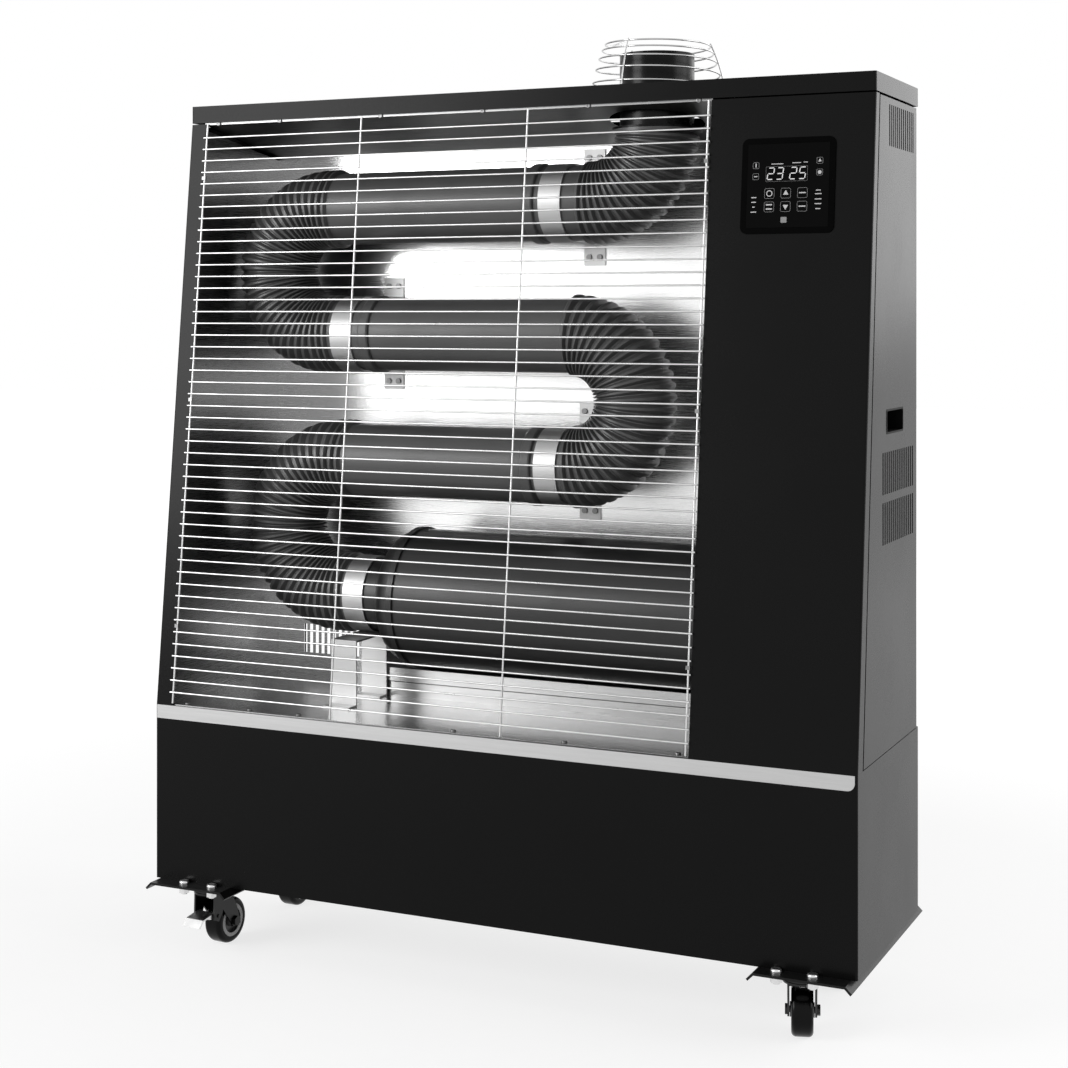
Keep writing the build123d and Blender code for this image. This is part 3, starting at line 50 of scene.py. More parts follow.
# %% [markdown]
# The camera stands a little right of the heater's middle, as high as its wire guard, and
# looks level at it. A level view keeps upright edges upright, and the heater is brought
# into the picture by shifting the lens down, as with a view camera.

# %% Camera
camera_place = (1.106, -2.368, 0.883)
camera_turn = math.radians(24.81)
camera_lens = 64.97
camera_shift = -0.208

camera_data = bpy.data.cameras.new("camera")
camera_data.lens = camera_lens
camera_data.sensor_width = 36
camera_data.shift_y = camera_shift
camera = bpy.data.objects.new("camera", camera_data)
camera.location = camera_place
camera.rotation_euler = (math.radians(90), 0, camera_turn)
bpy.context.scene.collection.objects.link(camera)
bpy.context.scene.camera = camera
bpy.context.scene.view_settings.view_transform = "Standard"
print("camera lens", camera_lens)

# %% [markdown]
# Shader maths reads best as plain sums. A Signal is a wrapped node socket, and adding or
# multiplying signals adds the Math nodes. A Finish is a material under construction, and
# its node method makes every other kind of node from a type, settings and socket values.

# %% Signals and finishes
class Signal:
    def __init__(self, finish, socket):
        self.finish = finish
        self.socket = socket

    def __add__(self, other):
        return self.finish.maths("ADD", self, other)

    __radd__ = __add__

    def __mul__(self, other):
        return self.finish.maths("MULTIPLY", self, other)

    __rmul__ = __mul__

    def __rsub__(self, other):
        return self.finish.maths("SUBTRACT", other, self)

    def __gt__(self, other):
        return self.finish.maths("GREATER_THAN", self, other)


class Finish:
    def __init__(self, owner):
        """Start an empty node tree for a new material or world."""
        self.material = owner
        owner.use_nodes = True
        self.tree = owner.node_tree
        self.tree.nodes.clear()

    def node(self, kind, settings=None, sockets=None, out=0):
        made = self.tree.nodes.new(kind)
        for key, value in (settings or {}).items():
            if key == "stops":
                for stop, (place, level) in zip(made.color_ramp.elements, value):
                    stop.position = place
                    stop.color = grey(level)
            else:
                setattr(made, key, value)
        for key, value in (sockets or {}).items():
            if isinstance(value, Signal):
                self.tree.links.new(value.socket, made.inputs[key])
            else:
                made.inputs[key].default_value = value
        return Signal(self, made.outputs[out]) if made.outputs else made

    def maths(self, operation, first, second):
        return self.node("ShaderNodeMath", {"operation": operation}, {0: first, 1: second})

    def place(self, scale=(1, 1, 1)):
        object_place = self.node("ShaderNodeTexCoord", out="Object")
        return self.node("ShaderNodeMapping", {}, {"Vector": object_place, "Scale": scale})

    def noise(self, size, scale=(1, 1, 1), detail=3.0):
        return self.node("ShaderNodeTexNoise", {}, {
            "Vector": self.place(scale), "Scale": 1 / size, "Detail": detail})

    def blend(self, factor, dark, light):
        """Mix two colours. A Mix node has hidden sockets of the same names, so skip those."""
        made = self.tree.nodes.new("ShaderNodeMix")
        made.data_type = "RGBA"
        for key, value in {"Factor": factor, "A": dark, "B": light}.items():
            socket = [s for s in made.inputs if s.name == key and s.enabled][0]
            if isinstance(value, Signal):
                self.tree.links.new(value.socket, socket)
            else:
                socket.default_value = value
        return Signal(self, [s for s in made.outputs if s.enabled][0])

    def bump(self, height, distance, strength=1.0):
        return self.node("ShaderNodeBump", {}, {
            "Height": height, "Distance": distance, "Strength": strength})

    def shade(self, sockets):
        shader = self.node("ShaderNodeBsdfPrincipled", {}, sockets)
        self.node("ShaderNodeOutputMaterial", {}, {"Surface": shader})
        return self.material


def grey(level, tint=(1.0, 1.0, 1.0)):
    return (level * tint[0], level * tint[1], level * tint[2], 1.0)


print("shader helpers ready")

# %% [markdown]
# The casing is steel with a satin black powder coat. Powder coat is never quite flat: it
# has a fine skin like orange peel, and its gloss drifts a little from place to place. The
# peel goes into the bump, and the drift and a trace of dust into roughness and colour.

# %% Painted steel
def painted(name, level, roughness, gloss, peel=0.0012, dust=0.35):
    finish = Finish(bpy.data.materials.new(name))
    drift = finish.noise(0.16)
    skin = finish.noise(peel, detail=2.0)
    specks = finish.noise(0.004, detail=6.0)
    dusty = finish.node("ShaderNodeValToRGB", {"stops": ((0.60, 0.0), (0.78, 1.0))}, {0: specks})
    colour = finish.blend(dusty * 0.5 + drift * 0.5, grey(level), grey(level * (1 + dust)))
    return finish.shade({
        "Base Color": colour,
        "Roughness": drift * 0.10 + skin * 0.06 + (roughness - 0.08),
        "Specular IOR Level": gloss,
        "Normal": finish.bump(skin, 0.00002, 0.5)})


casing_paint = painted("casing_paint", 0.0030, 0.27, 0.10)
rail_paint = painted("rail_paint", 0.005, 0.34, 0.20)
flue_black = painted("flue_black", 0.0035, 0.28, 0.14)
motor_paint = painted("motor_paint", 0.10, 0.45, 0.5)
print("painted finishes", casing_paint.name, rail_paint.name, flue_black.name)

# %% [markdown]
# The radiating tubes wear a matte coat that stands red heat. It is a little rougher and
# paler than the casing, with a mottled bloom where it has been baked.

# %% Heat-proof coat
def heat_coat(name, level, roughness):
    finish = Finish(bpy.data.materials.new(name))
    bloom = finish.noise(0.05, detail=5.0)
    grain = finish.noise(0.0016, detail=4.0)
    colour = finish.blend(bloom * 0.7 + grain * 0.3, grey(level * 0.75), grey(level * 1.35))
    return finish.shade({
        "Base Color": colour,
        "Roughness": bloom * 0.16 + (roughness - 0.08),
        "Specular IOR Level": 0.5,
        "Normal": finish.bump(grain, 0.00010, 0.8)})


heat_black = heat_coat("heat_black", 0.085, 0.36)
chamber_black = heat_coat("chamber_black", 0.014, 0.36)
print("heat coats", heat_black.name, chamber_black.name)

# %% [markdown]
# Stainless sheet is brushed in one direction, so its scratches are noise that is drawn
# out along that direction. The scratches vary the roughness and tilt the surface, which
# smears a reflection across them. Zinc plate has no brushing, but a faint cloudiness.

# %% Bare metals
def brushed(name, level, roughness, along, scratch=0.0005, depth=0.00004, drift_size=0.2,
            dark=0.80, light=1.12):
    finish = Finish(bpy.data.materials.new(name))
    stretch = tuple(0.012 if axis == along else 1.0 for axis in "XYZ")
    scratches = finish.noise(scratch, stretch, 4.0)
    bands = finish.noise(0.006, stretch, 3.0)
    drift = finish.noise(drift_size)
    colour = finish.blend(scratches * 0.5 + bands * 0.5, grey(level * dark), grey(level * light))
    return finish.shade({
        "Base Color": colour,
        "Metallic": 1.0,
        "Roughness": scratches * 0.16 + drift * 0.08 + (roughness - 0.10),
        "Normal": finish.bump(scratches + bands * 0.15, depth, 0.7)})


def plated(name, level, roughness, cloud=0.02, tint=(1.0, 1.0, 1.0)):
    finish = Finish(bpy.data.materials.new(name))
    clouds = finish.noise(cloud, detail=4.0)
    grain = finish.noise(0.0012, detail=3.0)
    colour = finish.blend(clouds, grey(level * 0.82, tint), grey(level * 1.12, tint))
    return finish.shade({
        "Base Color": colour,
        "Metallic": 1.0,
        "Roughness": clouds * 0.14 + grain * 0.06 + (roughness - 0.10),
        "Normal": finish.bump(grain, 0.00003, 0.5)})


polished_liner = brushed("polished_liner", 0.86, 0.24, "X", depth=0.000006, dark=0.93, light=1.05)
# The side and ceiling sheets are this stainless at lower levels: painted shade on surfaces that
# face sideways and down.
side_sheet = brushed("side_sheet", 0.30, 0.26, "Y", depth=0.000008)
floor_sheet = brushed("floor_sheet", 0.42, 0.22, "X", depth=0.000008)
deflector_sheet = brushed("deflector_sheet", 0.50, 0.28, "X", depth=0.000008)
ceiling_sheet = brushed("ceiling_sheet", 0.22, 0.28, "X", depth=0.000008)
brushed_strip = brushed("brushed_strip", 0.50, 0.34, "X", depth=0.00002)
band_steel = brushed("band_steel", 0.50, 0.40, "X", depth=0.00001, drift_size=0.05)
bright_wire = plated("bright_wire", 0.58, 0.30)
chrome_wire = plated("chrome_wire", 0.50, 0.20)
# One zinc plate at three levels: the bright level is painted light on plates and bolts that sit in
# shadow, and the screw and fork levels are darker copies, painted shade.
zinc = plated("zinc", 0.75, 0.30)
screw_zinc = plated("screw_zinc", 0.20, 0.34)
fork_zinc = plated("fork_zinc", 0.035, 0.30)
galvanised = plated("galvanised", 0.55, 0.40, cloud=0.012)
cast_alloy = plated("cast_alloy", 0.55, 0.48, cloud=0.006)
copper = plated("copper", 0.72, 0.28, tint=(1.0, 0.55, 0.38))
print("bare metals ready")

# %% [markdown]
# Mouldings have a fine spark-eroded grain. The tyres are smooth black rubber with a soft
# shine, the hubs a dark nylon with a pale ring, and the touch panel a glossy printed film.
# The circuit board behind it is green lacquer over faint copper tracks.

# %% Mouldings, rubber, film and board
def moulded(name, level, roughness, gloss=0.5, grain_size=0.0006, depth=0.00005, coat=0.0):
    finish = Finish(bpy.data.materials.new(name))
    grain = finish.noise(grain_size, detail=2.0)
    drift = finish.noise(0.03)
    colour = finish.blend(drift * 0.6 + grain * 0.4, grey(level * 0.85), grey(level * 1.2))
    return finish.shade({
        "Base Color": colour,
        "Roughness": grain * 0.12 + drift * 0.08 + (roughness - 0.10),
        "Specular IOR Level": gloss,
        "Coat Weight": coat,
        "Coat Roughness": 0.08,
        "Normal": finish.bump(grain, depth, 0.6)})


def circuit_board():
    finish = Finish(bpy.data.materials.new("board_green"))
    place = finish.place((1, 1, 1))
    cells = finish.node("ShaderNodeTexVoronoi", {"feature": "DISTANCE_TO_EDGE"}, {
        "Vector": place, "Scale": 160.0})
    tracks = cells > 0.08
    colour = finish.blend(tracks, (0.10, 0.22, 0.08, 1), (0.012, 0.075, 0.03, 1))
    return finish.shade({
        "Base Color": colour,
        "Roughness": tracks * 0.08 + 0.28,
        "Normal": finish.bump(1 - tracks, 0.00004)})


black_plastic = moulded("black_plastic", 0.0012, 0.30, gloss=0.02)
dark_grip = moulded("dark_grip", 0.003, 0.40, gloss=0.15)
panel_film = moulded("panel_film", 0.0012, 0.12, gloss=0.05, depth=0.000003)
hub_plastic = moulded("hub_plastic", 0.10, 0.45)
hub_rim = moulded("hub_rim", 0.72, 0.38)
tyre_rubber = moulded("tyre_rubber", 0.0020, 0.20, gloss=0.12, grain_size=0.0012, depth=0.00001)
board_green = circuit_board()
print("mouldings ready")

# %% [markdown]
# A carried-over solid keeps its mesh and takes a finish by its material slots. One table
# says which finish each solid wears.

# %% Finishes onto the solids
corners = ("front_left", "front_right", "rear_left", "rear_right")
worn = {
    casing_paint: ["base_cabinet", "base_floor_pan", "left_side_panel", "front_panel",
                   "rear_panel", "top_cover", "service_door"],
    rail_paint: ["castor_rails"],
    brushed_strip: ["trim_strip"],
    polished_liner: ["reflector"],
    floor_sheet: ["cavity_floor"],
    deflector_sheet: ["lower_deflector"],
    # The side and ceiling sheets carry painted shade.
    side_sheet: ["side_liner"],
    ceiling_sheet: ["cavity_ceiling"],
    heat_black: ["lower_exchanger_tube", "middle_exchanger_tube", "upper_exchanger_tube",
                 "exhaust_elbow"],
    chamber_black: ["combustion_chamber"],
    flue_black: ["flue_stub"],
    chrome_wire: ["flue_guard"],
    bright_wire: ["wire_guard"],
    # Three levels of one zinc plate: the bright one is painted light, the screw and fork ones are
    # painted shade.
    screw_zinc: ["casing_screws", "guard_clips"],
    band_steel: ["clamp_bands", "chamber_support"],
    zinc: ["door_hinge_pins", "castor_bolts", "castor_plates",
           "brake_pedal_front_left", "brake_pedal_rear_left"],
    fork_zinc: ["castor_fork_" + corner for corner in corners],
    black_plastic: ["control_bezel", "ignition_transformer", "cable_gland", "filler_cap"],
    dark_grip: ["door_grip"],
    panel_film: ["control_glass"],
    board_green: ["circuit_board"],
    galvanised: ["burner_bulkhead", "blower_wheel", "blast_tube", "fuel_tank",
                 "tank_bearers", "filler_neck"],
    cast_alloy: ["burner_housing", "fuel_pump"],
    motor_paint: ["burner_motor"],
    copper: ["fuel_line"],
    hub_plastic: ["castor_hub_" + corner for corner in corners],
    tyre_rubber: ["castor_tyre_" + corner for corner in corners],
}

dressed = set()
for finish, names in worn.items():
    for name in names:
        solid = frame["nodes"][name]
        solid.data.materials.clear()
        solid.data.materials.append(finish)
        dressed.add(name)
print("dressed", len(dressed), "solids, left", sorted(set(frame["nodes"]) - dressed))

# %% [markdown]
# The control panel is one glossy film with pale printed marks: a window with four seven
# segment digits, six touch keys, and small signs and dashes beside them. The real words
# are left out, and plain dashes stand in their places. Printing could be a texture, but a
# mark that stands a tenth of a millimetre proud is crisp from near and far, so each mark
# is a thin plate. All of them are laid out flat first and then leaned onto the film.

# %% Panel values
panel_side = 0.120
panel_x = 0.392
panel_rise = 0.706
panel_proud = 0.0016
front_foot = (-0.150, 0.337)
front_head = (-0.064, 1.153)
front_lean = math.atan2(front_head[0] - front_foot[0], front_head[1] - front_foot[1])
mark_depth = 0.00018
mark_sunk = 0.00006

print("front leans", round(math.degrees(front_lean), 2), "degrees")


# %% Helpers for edit mode
def start_alone():
    if bpy.context.object and bpy.context.object.mode != "OBJECT":
        bpy.ops.object.mode_set(mode="OBJECT")
    bpy.ops.object.select_all(action="DESELECT")


def only(piece):
    start_alone()
    piece.select_set(True)
    bpy.context.view_layer.objects.active = piece


def join(pieces, name):
    only(pieces[0])
    for piece in pieces:
        piece.select_set(True)
    if len(pieces) > 1:
        bpy.ops.object.join()
    pieces[0].name = name
    pieces[0].data.name = name
    return pieces[0]


def settle(piece):
    """Put the object's place into its mesh, so that the object sits at the origin."""
    only(piece)
    bpy.ops.object.transform_apply(location=True, rotation=True, scale=True)
    return piece


def pick(piece, kind, test):
    """Select, in edit mode, the points, edges or faces that pass a test."""
    mesh = bmesh.from_edit_mesh(piece.data)
    for part in list(mesh.verts) + list(mesh.edges) + list(mesh.faces):
        part.select = False
    chosen = [part for part in getattr(mesh, kind) if test(part)]
    for part in chosen:
        part.select = True
    mesh.select_flush_mode()
    bmesh.update_edit_mesh(piece.data)
    return len(chosen)


def thicken(push, rim=0.0):
    """In edit mode, push a flat face out to a solid, first emptied inside its rim."""
    bpy.ops.mesh.select_mode(type="FACE")
    bpy.ops.mesh.select_all(action="SELECT")
    if rim:
        bpy.ops.mesh.inset(thickness=rim)
        bpy.ops.mesh.delete(type="FACE")
        bpy.ops.mesh.select_all(action="SELECT")
    bpy.ops.mesh.extrude_region_move(TRANSFORM_OT_translate={"value": push})
    bpy.ops.mesh.select_all(action="SELECT")
    bpy.ops.mesh.normals_make_consistent(inside=False)


def round_corners(radius, segments):
    """In edit mode, round the corners of a flat face."""
    bpy.ops.mesh.select_mode(type="VERT")
    bpy.ops.mesh.select_all(action="SELECT")
    bpy.ops.mesh.bevel(offset=radius, segments=segments, affect="VERTICES")


def panel_spot(across, down):
    """Flat place of a mark from its shares of the bezel, across from the left and down."""
    return ((across - 0.5) * panel_side, (0.5 - down) * panel_side)


print("edit helpers ready")


# %% [markdown]
# A bar is a flat plate whose upright corners are bevelled: with one large bevel it has the
# pointed ends of a display segment. A frame is a plane with rounded corners, inset by the
# line's width, with its middle deleted and the rest extruded.

# %% Marks
def bar(across, down, wide, high, corner=0.0):
    start_alone()
    x, y = panel_spot(across, down)
    bpy.ops.mesh.primitive_cube_add(size=1, location=(x, y, mark_depth / 2))
    made = bpy.context.object
    made.scale = (wide, high, mark_depth)
    settle(made)
    if corner:
        bpy.ops.object.mode_set(mode="EDIT")
        bpy.ops.mesh.select_mode(type="EDGE")
        pick(made, "edges", lambda e: abs(e.verts[0].co.z - e.verts[1].co.z) > mark_depth / 2)
        bpy.ops.mesh.bevel(offset=corner, segments=1)
        bpy.ops.object.mode_set(mode="OBJECT")
    return made


def flat_shape(across, down, corners, radius, turn=0.0, line=0.0):
    start_alone()
    x, y = panel_spot(across, down)
    bpy.ops.mesh.primitive_circle_add(vertices=corners, radius=radius, fill_type="NGON",
                                      location=(x, y, 0), rotation=(0, 0, turn))
    made = bpy.context.object
    settle(made)
    bpy.ops.object.mode_set(mode="EDIT")
    thicken((0, 0, mark_depth), line)
    bpy.ops.object.mode_set(mode="OBJECT")
    return made


def frame_mark(across, down, wide, high, corner, line):
    start_alone()
    x, y = panel_spot(across, down)
    bpy.ops.mesh.primitive_plane_add(size=1, location=(x, y, 0))
    made = bpy.context.object
    made.scale = (wide, high, 1)
    settle(made)
    bpy.ops.object.mode_set(mode="EDIT")
    round_corners(corner, 3)
    thicken((0, 0, mark_depth), line)
    bpy.ops.object.mode_set(mode="OBJECT")
    return made


def lean_onto_film(piece):
    """Lean flat marks onto the film, and sink them a little so that they hold."""
    out = panel_proud - mark_sunk
    rise = panel_rise
    y = front_foot[0] + rise * math.sin(front_lean) - out * math.cos(front_lean)
    z = front_foot[1] + rise * math.cos(front_lean) + out * math.sin(front_lean)
    up = Matrix.Rotation(math.radians(90) - front_lean, 4, "X")
    piece.data.transform(Matrix.Translation((panel_x, y, z)) @ up)
    return piece


print("mark makers ready")


# %% [markdown]
# A lit segment glows a little, so it has some emission besides its pale colour. The other
# marks are print with a fainter glow, which is painted light. Both finishes are mottled very
# slightly, as screen printing is.

# %% Print and glow
def printed(name, level, glow):
    finish = Finish(bpy.data.materials.new(name))
    speckle = finish.noise(0.0008, detail=3.0)
    colour = finish.blend(speckle, grey(level * 0.9), grey(level * 1.08))
    return finish.shade({
        "Base Color": colour,
        "Roughness": speckle * 0.1 + 0.4,
        "Emission Color": colour,
        "Emission Strength": glow})


lit_segment = printed("lit_segment", 0.80, 0.25)
pale_print = printed("pale_print", 0.62, 0.12)
faint_print = printed("faint_print", 0.20, 0.03)
print("print finishes ready")

# %% Digits
digit_places = (0.3155, 0.4135, 0.5565, 0.6545)
digit_down = 0.375
digit_half_width = 0.0318
digit_half_height = 0.0600
segment_width = 0.00125
segment_share = 0.86
digit_slant = 0.13
lit = {"2": "abged", "3": "abgcd", "5": "afgcd"}
shown_digits = "2325"

segments = []
for place, digit in zip(digit_places, shown_digits):
    lying = (digit_half_width * 2 * panel_side) * segment_share
    standing = (digit_half_height * panel_side) * segment_share
    spots = {
        "a": (place, digit_down - digit_half_height, lying, segment_width),
        "g": (place, digit_down, lying, segment_width),
        "d": (place, digit_down + digit_half_height, lying, segment_width),
        "f": (place - digit_half_width, digit_down - digit_half_height / 2,
              segment_width, standing),
        "b": (place + digit_half_width, digit_down - digit_half_height / 2,
              segment_width, standing),
        "e": (place - digit_half_width, digit_down + digit_half_height / 2,
              segment_width, standing),
        "c": (place + digit_half_width, digit_down + digit_half_height / 2,
              segment_width, standing),
    }
    for letter in lit[digit]:
        segments.append(bar(*spots[letter], corner=segment_width * 0.45))
digits = join(segments, "display_digits")
slant_height = panel_spot(0.5, digit_down)[1]
slant = Matrix.Identity(4)
slant[0][1] = digit_slant
slant[0][3] = -digit_slant * slant_height
digits.data.transform(slant)
digits.data.materials.append(lit_segment)
lean_onto_film(digits)
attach(digits, "casing")
print("digit segments", len(segments))

# %% Keys and signs
key_columns = (0.307, 0.483, 0.660)
key_rows = (0.581, 0.721)
key_size = 0.108 * panel_side
line_width = 0.0005
outlines = [frame_mark(column, row, key_size, key_size, 0.0022, line_width)
            for row in key_rows for column in key_columns]
outlines += [frame_mark(across, down, 0.0082, 0.0082, 0.0018, line_width)
             for across, down in ((0.154, 0.285), (0.154, 0.401), (0.836, 0.252), (0.836, 0.373))]
outlines.append(frame_mark(0.485, 0.379, 0.0535, 0.0190, 0.0010, 0.00030))
key_frames = join(outlines, "key_frames")
key_frames.data.materials.append(faint_print)
lean_onto_film(key_frames)
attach(key_frames, "casing")

signs = [
    flat_shape(key_columns[0], key_rows[0], 24, 0.0040, line=0.0011),
    flat_shape(key_columns[1], key_rows[0], 3, 0.0040),
    flat_shape(key_columns[1], key_rows[1], 3, 0.0040, turn=math.radians(60)),
    bar(key_columns[0], key_rows[1] - 0.022, 0.0078, 0.0017),
    bar(key_columns[0], key_rows[1] + 0.022, 0.0078, 0.0017),
    bar(key_columns[2], key_rows[0], 0.0086, 0.0015),
    bar(key_columns[2], key_rows[1], 0.0086, 0.0015),
    bar(0.154, 0.285, 0.0014, 0.0050, corner=0.0004),
    bar(0.154, 0.401, 0.0044, 0.0012, corner=0.0004),
    flat_shape(0.836, 0.252, 3, 0.0026),
    bar(0.836, 0.373, 0.0046, 0.0046, corner=0.0012),
]
left_dashes = ((0.620, 0.0066), (0.669, 0.0060), (0.720, 0.0030), (0.772, 0.0074))
right_dashes = ((0.559, 0.0060), (0.596, 0.0084), (0.650, 0.0084), (0.699, 0.0084), (0.750, 0.0066))
signs += [bar(0.140, down, wide, 0.0012) for down, wide in left_dashes]
signs += [bar(0.828, down, wide, 0.0012) for down, wide in right_dashes]
signs += [bar(0.383, 0.275, 0.0150, 0.0010), bar(0.590, 0.268, 0.0110, 0.0010),
          bar(0.686, 0.264, 0.0052, 0.0010)]
panel_signs = join(signs, "panel_signs")
panel_signs.data.materials.append(pale_print)
lean_onto_film(panel_signs)
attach(panel_signs, "casing")

sensor = join([bar(0.468, 0.859, 0.0076, 0.0072, corner=0.0006)], "panel_sensor")
sensor.data.materials.append(printed("sensor_print", 0.30, 0.05))
lean_onto_film(sensor)
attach(sensor, "casing")
print("signs", len(signs), "frames", len(outlines))

# %% [markdown]
# Small fasteners are what the eye checks first on sheet metal. One pan-head screw is
# modelled: a cylinder with a rounded rim, and a cross cut into it by a Boolean. Copies of
# its mesh go along the floor's front edge and onto the lip under the lid.

# %% A pan-head screw
screw_radius = 0.0036
screw_height = 0.0020


def cutter_bar(wide, long):
    start_alone()
    bpy.ops.mesh.primitive_cube_add(size=1, location=(0, 0, screw_height))
    made = bpy.context.object
    made.scale = (wide, long, screw_height)
    return settle(made)


def pan_screw():
    start_alone()
    bpy.ops.mesh.primitive_cylinder_add(vertices=20, radius=screw_radius, depth=screw_height,
                                        location=(0, 0, screw_height / 2))
    made = bpy.context.object
    settle(made)
    bpy.ops.object.mode_set(mode="EDIT")
    bpy.ops.mesh.select_mode(type="EDGE")
    pick(made, "edges", lambda e: min(v.co.z for v in e.verts) > screw_height * 0.9)
    bpy.ops.mesh.bevel(offset=0.0011, segments=3)
    bpy.ops.object.mode_set(mode="OBJECT")
    cross = join([cutter_bar(0.0009, 0.0042), cutter_bar(0.0042, 0.0009)], "cross")
    only(made)
    cut = made.modifiers.new("cross", "BOOLEAN")
    cut.operation = "DIFFERENCE"
    cut.object = cross
    cut.use_self = True
    bpy.ops.object.modifier_apply(modifier="cross")
    bpy.data.objects.remove(cross)
    return made


screw_model = pan_screw()


def screw_copy(place, turn):
    copy = screw_model.copy()
    copy.data = screw_model.data.copy()
    bpy.context.scene.collection.objects.link(copy)
    copy.data.transform(Matrix.Translation(place) @ turn)
    return copy


print("screw has", len(screw_model.data.polygons), "faces")

# %% Screws along the floor and under the lid
upright_turn = Matrix.Identity(4)
facing_front = Matrix.Rotation(math.radians(90), 4, "X")
floor_low, floor_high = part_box("cavity_floor")
lip_low, lip_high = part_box("cavity_ceiling")
floor_screw_x = (-0.456, -0.354, -0.276, -0.041, 0.117, 0.270)
lid_screw_x = (-0.456, -0.354, -0.192, -0.036, 0.117, 0.270)
floor_screw_y = floor_low[1] + 0.010
lid_low, lid_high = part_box("top_cover")
lip_screw_z = lid_low[2] - 0.0015
screw_sunk = 0.0001

screws = [screw_copy((x, floor_screw_y, floor_high[2] - screw_sunk), upright_turn)
          for x in floor_screw_x]
screws += [screw_copy((x, lip_low[1] + screw_sunk, lip_screw_z), facing_front)
           for x in lid_screw_x]
edge_screws = join(screws, "edge_screws")
edge_screws.data.materials.append(screw_zinc)
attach(edge_screws, "casing")
bpy.data.objects.remove(screw_model)
print("floor box", [round(v, 4) for v in floor_low], [round(v, 4) for v in floor_high])
print("lip box", [round(v, 4) for v in lip_low], [round(v, 4) for v in lip_high])

# %% [markdown]
# Each wheel has a pale moulded ring round its dark web, on both sides. The ring is a flat
# circle that is inset, emptied in the middle and thickened, then turned onto the axle.
# The axle's place and direction come from the joint of its own wheel.

# %% Wheel rings
ring_outer = 0.0222
ring_inner = 0.0172
ring_depth = 0.0012
tyre_half = 0.0135


def wheel_ring(hinge, side):
    start_alone()
    bpy.ops.mesh.primitive_circle_add(vertices=48, radius=ring_outer, fill_type="NGON")
    made = bpy.context.object
    bpy.ops.object.mode_set(mode="EDIT")
    thicken((0, 0, ring_depth), ring_outer - ring_inner)
    bpy.ops.mesh.bevel(offset=0.0004, segments=2, affect="EDGES")
    bpy.ops.object.mode_set(mode="OBJECT")
    axis = Vector(hinge["axis"]) * side
    turn = axis.to_track_quat("Z", "Y").to_matrix().to_4x4()
    start = Vector(hinge["pos_m"]) + axis * (tyre_half - ring_depth)
    made.data.transform(Matrix.Translation(start) @ turn)
    return made


hinges = {joint["name"]: joint for joint in frame["joints"]}
for corner in corners:
    hinge = hinges["wheel_roll_" + corner]
    ring = join([wheel_ring(hinge, 1), wheel_ring(hinge, -1)], "wheel_ring_" + corner)
    ring.data.materials.append(hub_rim)
    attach(ring, "wheel_" + corner)
print("wheel rings", len(corners))

# %% [markdown]
# The recessed grip is a moulding with its own narrow frame, which covers the cut edge of
# the door. The frame is a rectangle with rounded corners, flush but for a hair.

# %% Grip frame
grip_frame_y = (-0.016, 0.068)
grip_frame_z = (0.731, 0.762)
grip_frame_rim = 0.0024
grip_frame_depth = 0.0006
grip_frame_sunk = 0.0002
grip_frame_corner = 0.005
side_x = 0.500


def grip_frame():
    start_alone()
    middle = (side_x - grip_frame_sunk, sum(grip_frame_y) / 2, sum(grip_frame_z) / 2)
    bpy.ops.mesh.primitive_plane_add(size=1, location=middle, rotation=(0, math.radians(90), 0))
    made = bpy.context.object
    made.name = "grip_frame"
    made.scale = (grip_frame_z[1] - grip_frame_z[0], grip_frame_y[1] - grip_frame_y[0], 1)
    settle(made)
    bpy.ops.object.mode_set(mode="EDIT")
    round_corners(grip_frame_corner, 6)
    thicken((grip_frame_depth, 0, 0), grip_frame_rim)
    bpy.ops.object.mode_set(mode="OBJECT")
    return made


frame_piece = grip_frame()
frame_piece.data.materials.append(black_plastic)
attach(frame_piece, "service_door")
print("grip frame faces", len(frame_piece.data.polygons))

# %% [markdown]
# A black rubber seal sits inside the front panel's side fold. It also stands as painted shade,
# a dark strip that makes the gap before the door dark. It is a long thin box, and its upper end is
# moved back to follow the leaning front.

# %% Door seal and painted shade in the gap
seal_low_z = 0.340
seal_high_z = 1.149
seal_wide = 0.0094
seal_thick = 0.0020
seal_x = side_x - 0.0025
seal_behind_fold = 0.006
seal_round = 0.0005
fold_deep_low = 0.023
fold_deep_high = 0.016


def fold_edge_y(z):
    rise = z - front_foot[1]
    share = rise / (front_head[1] - front_foot[1])
    deep = fold_deep_low + (fold_deep_high - fold_deep_low) * share
    return front_foot[0] + rise * math.tan(front_lean) + deep


start_alone()
seal_y = fold_edge_y(seal_low_z) - seal_behind_fold + seal_wide / 2
seal_z = (seal_low_z + seal_high_z) / 2
bpy.ops.mesh.primitive_cube_add(size=1, location=(seal_x, seal_y, seal_z))
door_seal = bpy.context.object
door_seal.name = "door_seal"
door_seal.scale = (seal_thick, seal_wide, seal_high_z - seal_low_z)
settle(door_seal)
bpy.ops.object.mode_set(mode="EDIT")
bpy.ops.mesh.select_mode(type="VERT")
pick(door_seal, "verts", lambda v: v.co.z > seal_z)
seal_lean = fold_edge_y(seal_high_z) - fold_edge_y(seal_low_z)
bpy.ops.transform.translate(value=(0, seal_lean, 0))
bpy.ops.mesh.select_all(action="SELECT")
bpy.ops.mesh.bevel(offset=seal_round, segments=2, affect="EDGES")
bpy.ops.object.mode_set(mode="OBJECT")
door_seal.data.materials.append(tyre_rubber)
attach(door_seal, "casing")
print("door seal leans", round(seal_lean, 4))

# %% [markdown]
# The studio is a pale floor under a white sky. The sky is white for the camera and for
# reflections, and dimmer as a light, so that black paint stays black and polished sheet
# still finds something bright to reflect. Three soft lamps do most of the lighting.

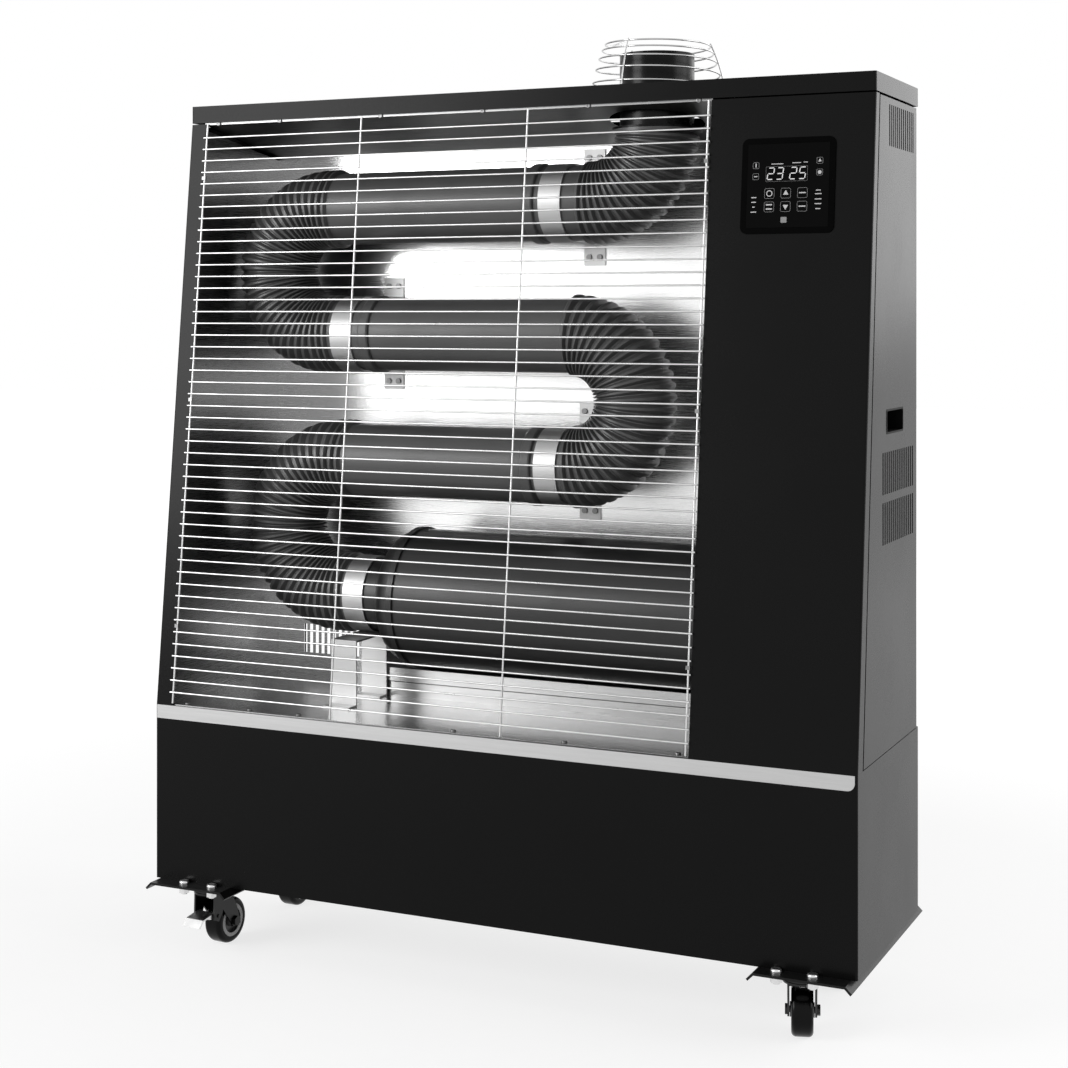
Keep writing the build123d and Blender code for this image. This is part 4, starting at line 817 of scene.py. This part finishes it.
# %% Floor
def floor_finish():
    finish = Finish(bpy.data.materials.new("studio_floor"))
    speckle = finish.noise(0.03, detail=2.0)
    paper = finish.node("ShaderNodeBsdfDiffuse", {}, {
        "Color": finish.blend(speckle, grey(0.30), grey(0.32))})
    away = finish.node("ShaderNodeVectorMath", {"operation": "LENGTH"}, {
        0: finish.node("ShaderNodeTexCoord", out="Object")}, out="Value")
    far = finish.node("ShaderNodeMapRange", {}, {0: away, 1: 1.0, 2: 3.5, 3: 0.76, 4: 1.0})
    glow = finish.node("ShaderNodeEmission", {}, {"Color": grey(1.0), "Strength": far})
    ray = finish.node("ShaderNodeLightPath", out="Is Camera Ray")
    mirror_ray = finish.node("ShaderNodeLightPath", out="Is Glossy Ray")
    glass_ray = finish.node("ShaderNodeLightPath", out="Is Transmission Ray")
    seen = finish.maths("MINIMUM", ray + mirror_ray + glass_ray, 1.0)
    dark = finish.node("ShaderNodeEmission", {}, {"Color": grey(1.0), "Strength": 0.10})
    shown = finish.node("ShaderNodeMixShader", {}, {0: seen, 1: dark, 2: glow})
    both = finish.node("ShaderNodeAddShader", {}, {0: paper, 1: shown})
    finish.node("ShaderNodeOutputMaterial", {}, {"Surface": both})
    return finish.material


bpy.ops.mesh.primitive_plane_add(size=30.0, location=(0, 0, 0))
floor = bpy.context.object
floor.name = "studio_floor"
floor.data.materials.append(floor_finish())
print("floor", floor.name)

# %% Sky and lamps
sky = bpy.data.worlds.new("sky")
sky_light = Finish(sky)
seen_rays = [sky_light.node("ShaderNodeLightPath", out=name)
             for name in ("Is Camera Ray", "Is Glossy Ray", "Is Transmission Ray")]
sky_seen = sky_light.maths("MINIMUM", seen_rays[0] + seen_rays[1] + seen_rays[2], 1.0)
sky_glow = sky_light.node("ShaderNodeBackground", {}, {
    "Color": grey(1.0), "Strength": sky_seen * 0.70 + 0.30})
sky_light.node("ShaderNodeOutputWorld", {}, {"Surface": sky_glow})
bpy.context.scene.world = sky


def lamp(name, place, aim, size, power):
    data = bpy.data.lights.new(name, "AREA")
    data.shape = "DISK"
    data.size = size
    data.energy = power
    made = bpy.data.objects.new(name, data)
    made.location = place
    direction = Vector(aim) - Vector(place)
    made.rotation_euler = direction.to_track_quat("-Z", "Y").to_euler()
    bpy.context.scene.collection.objects.link(made)
    return made


lamp("key_lamp", (-2.5, -2.9, 1.7), (0, 0, 0.7), 2.0, 85)
lamp("side_lamp", (3.0, 0.6, 1.6), (0.5, 0, 0.7), 2.4, 45)
lamp("rim_lamp", (1.9, 3.6, 2.2), (0.5, 0, 0.7), 3.2, 38)
print("lamps ready")
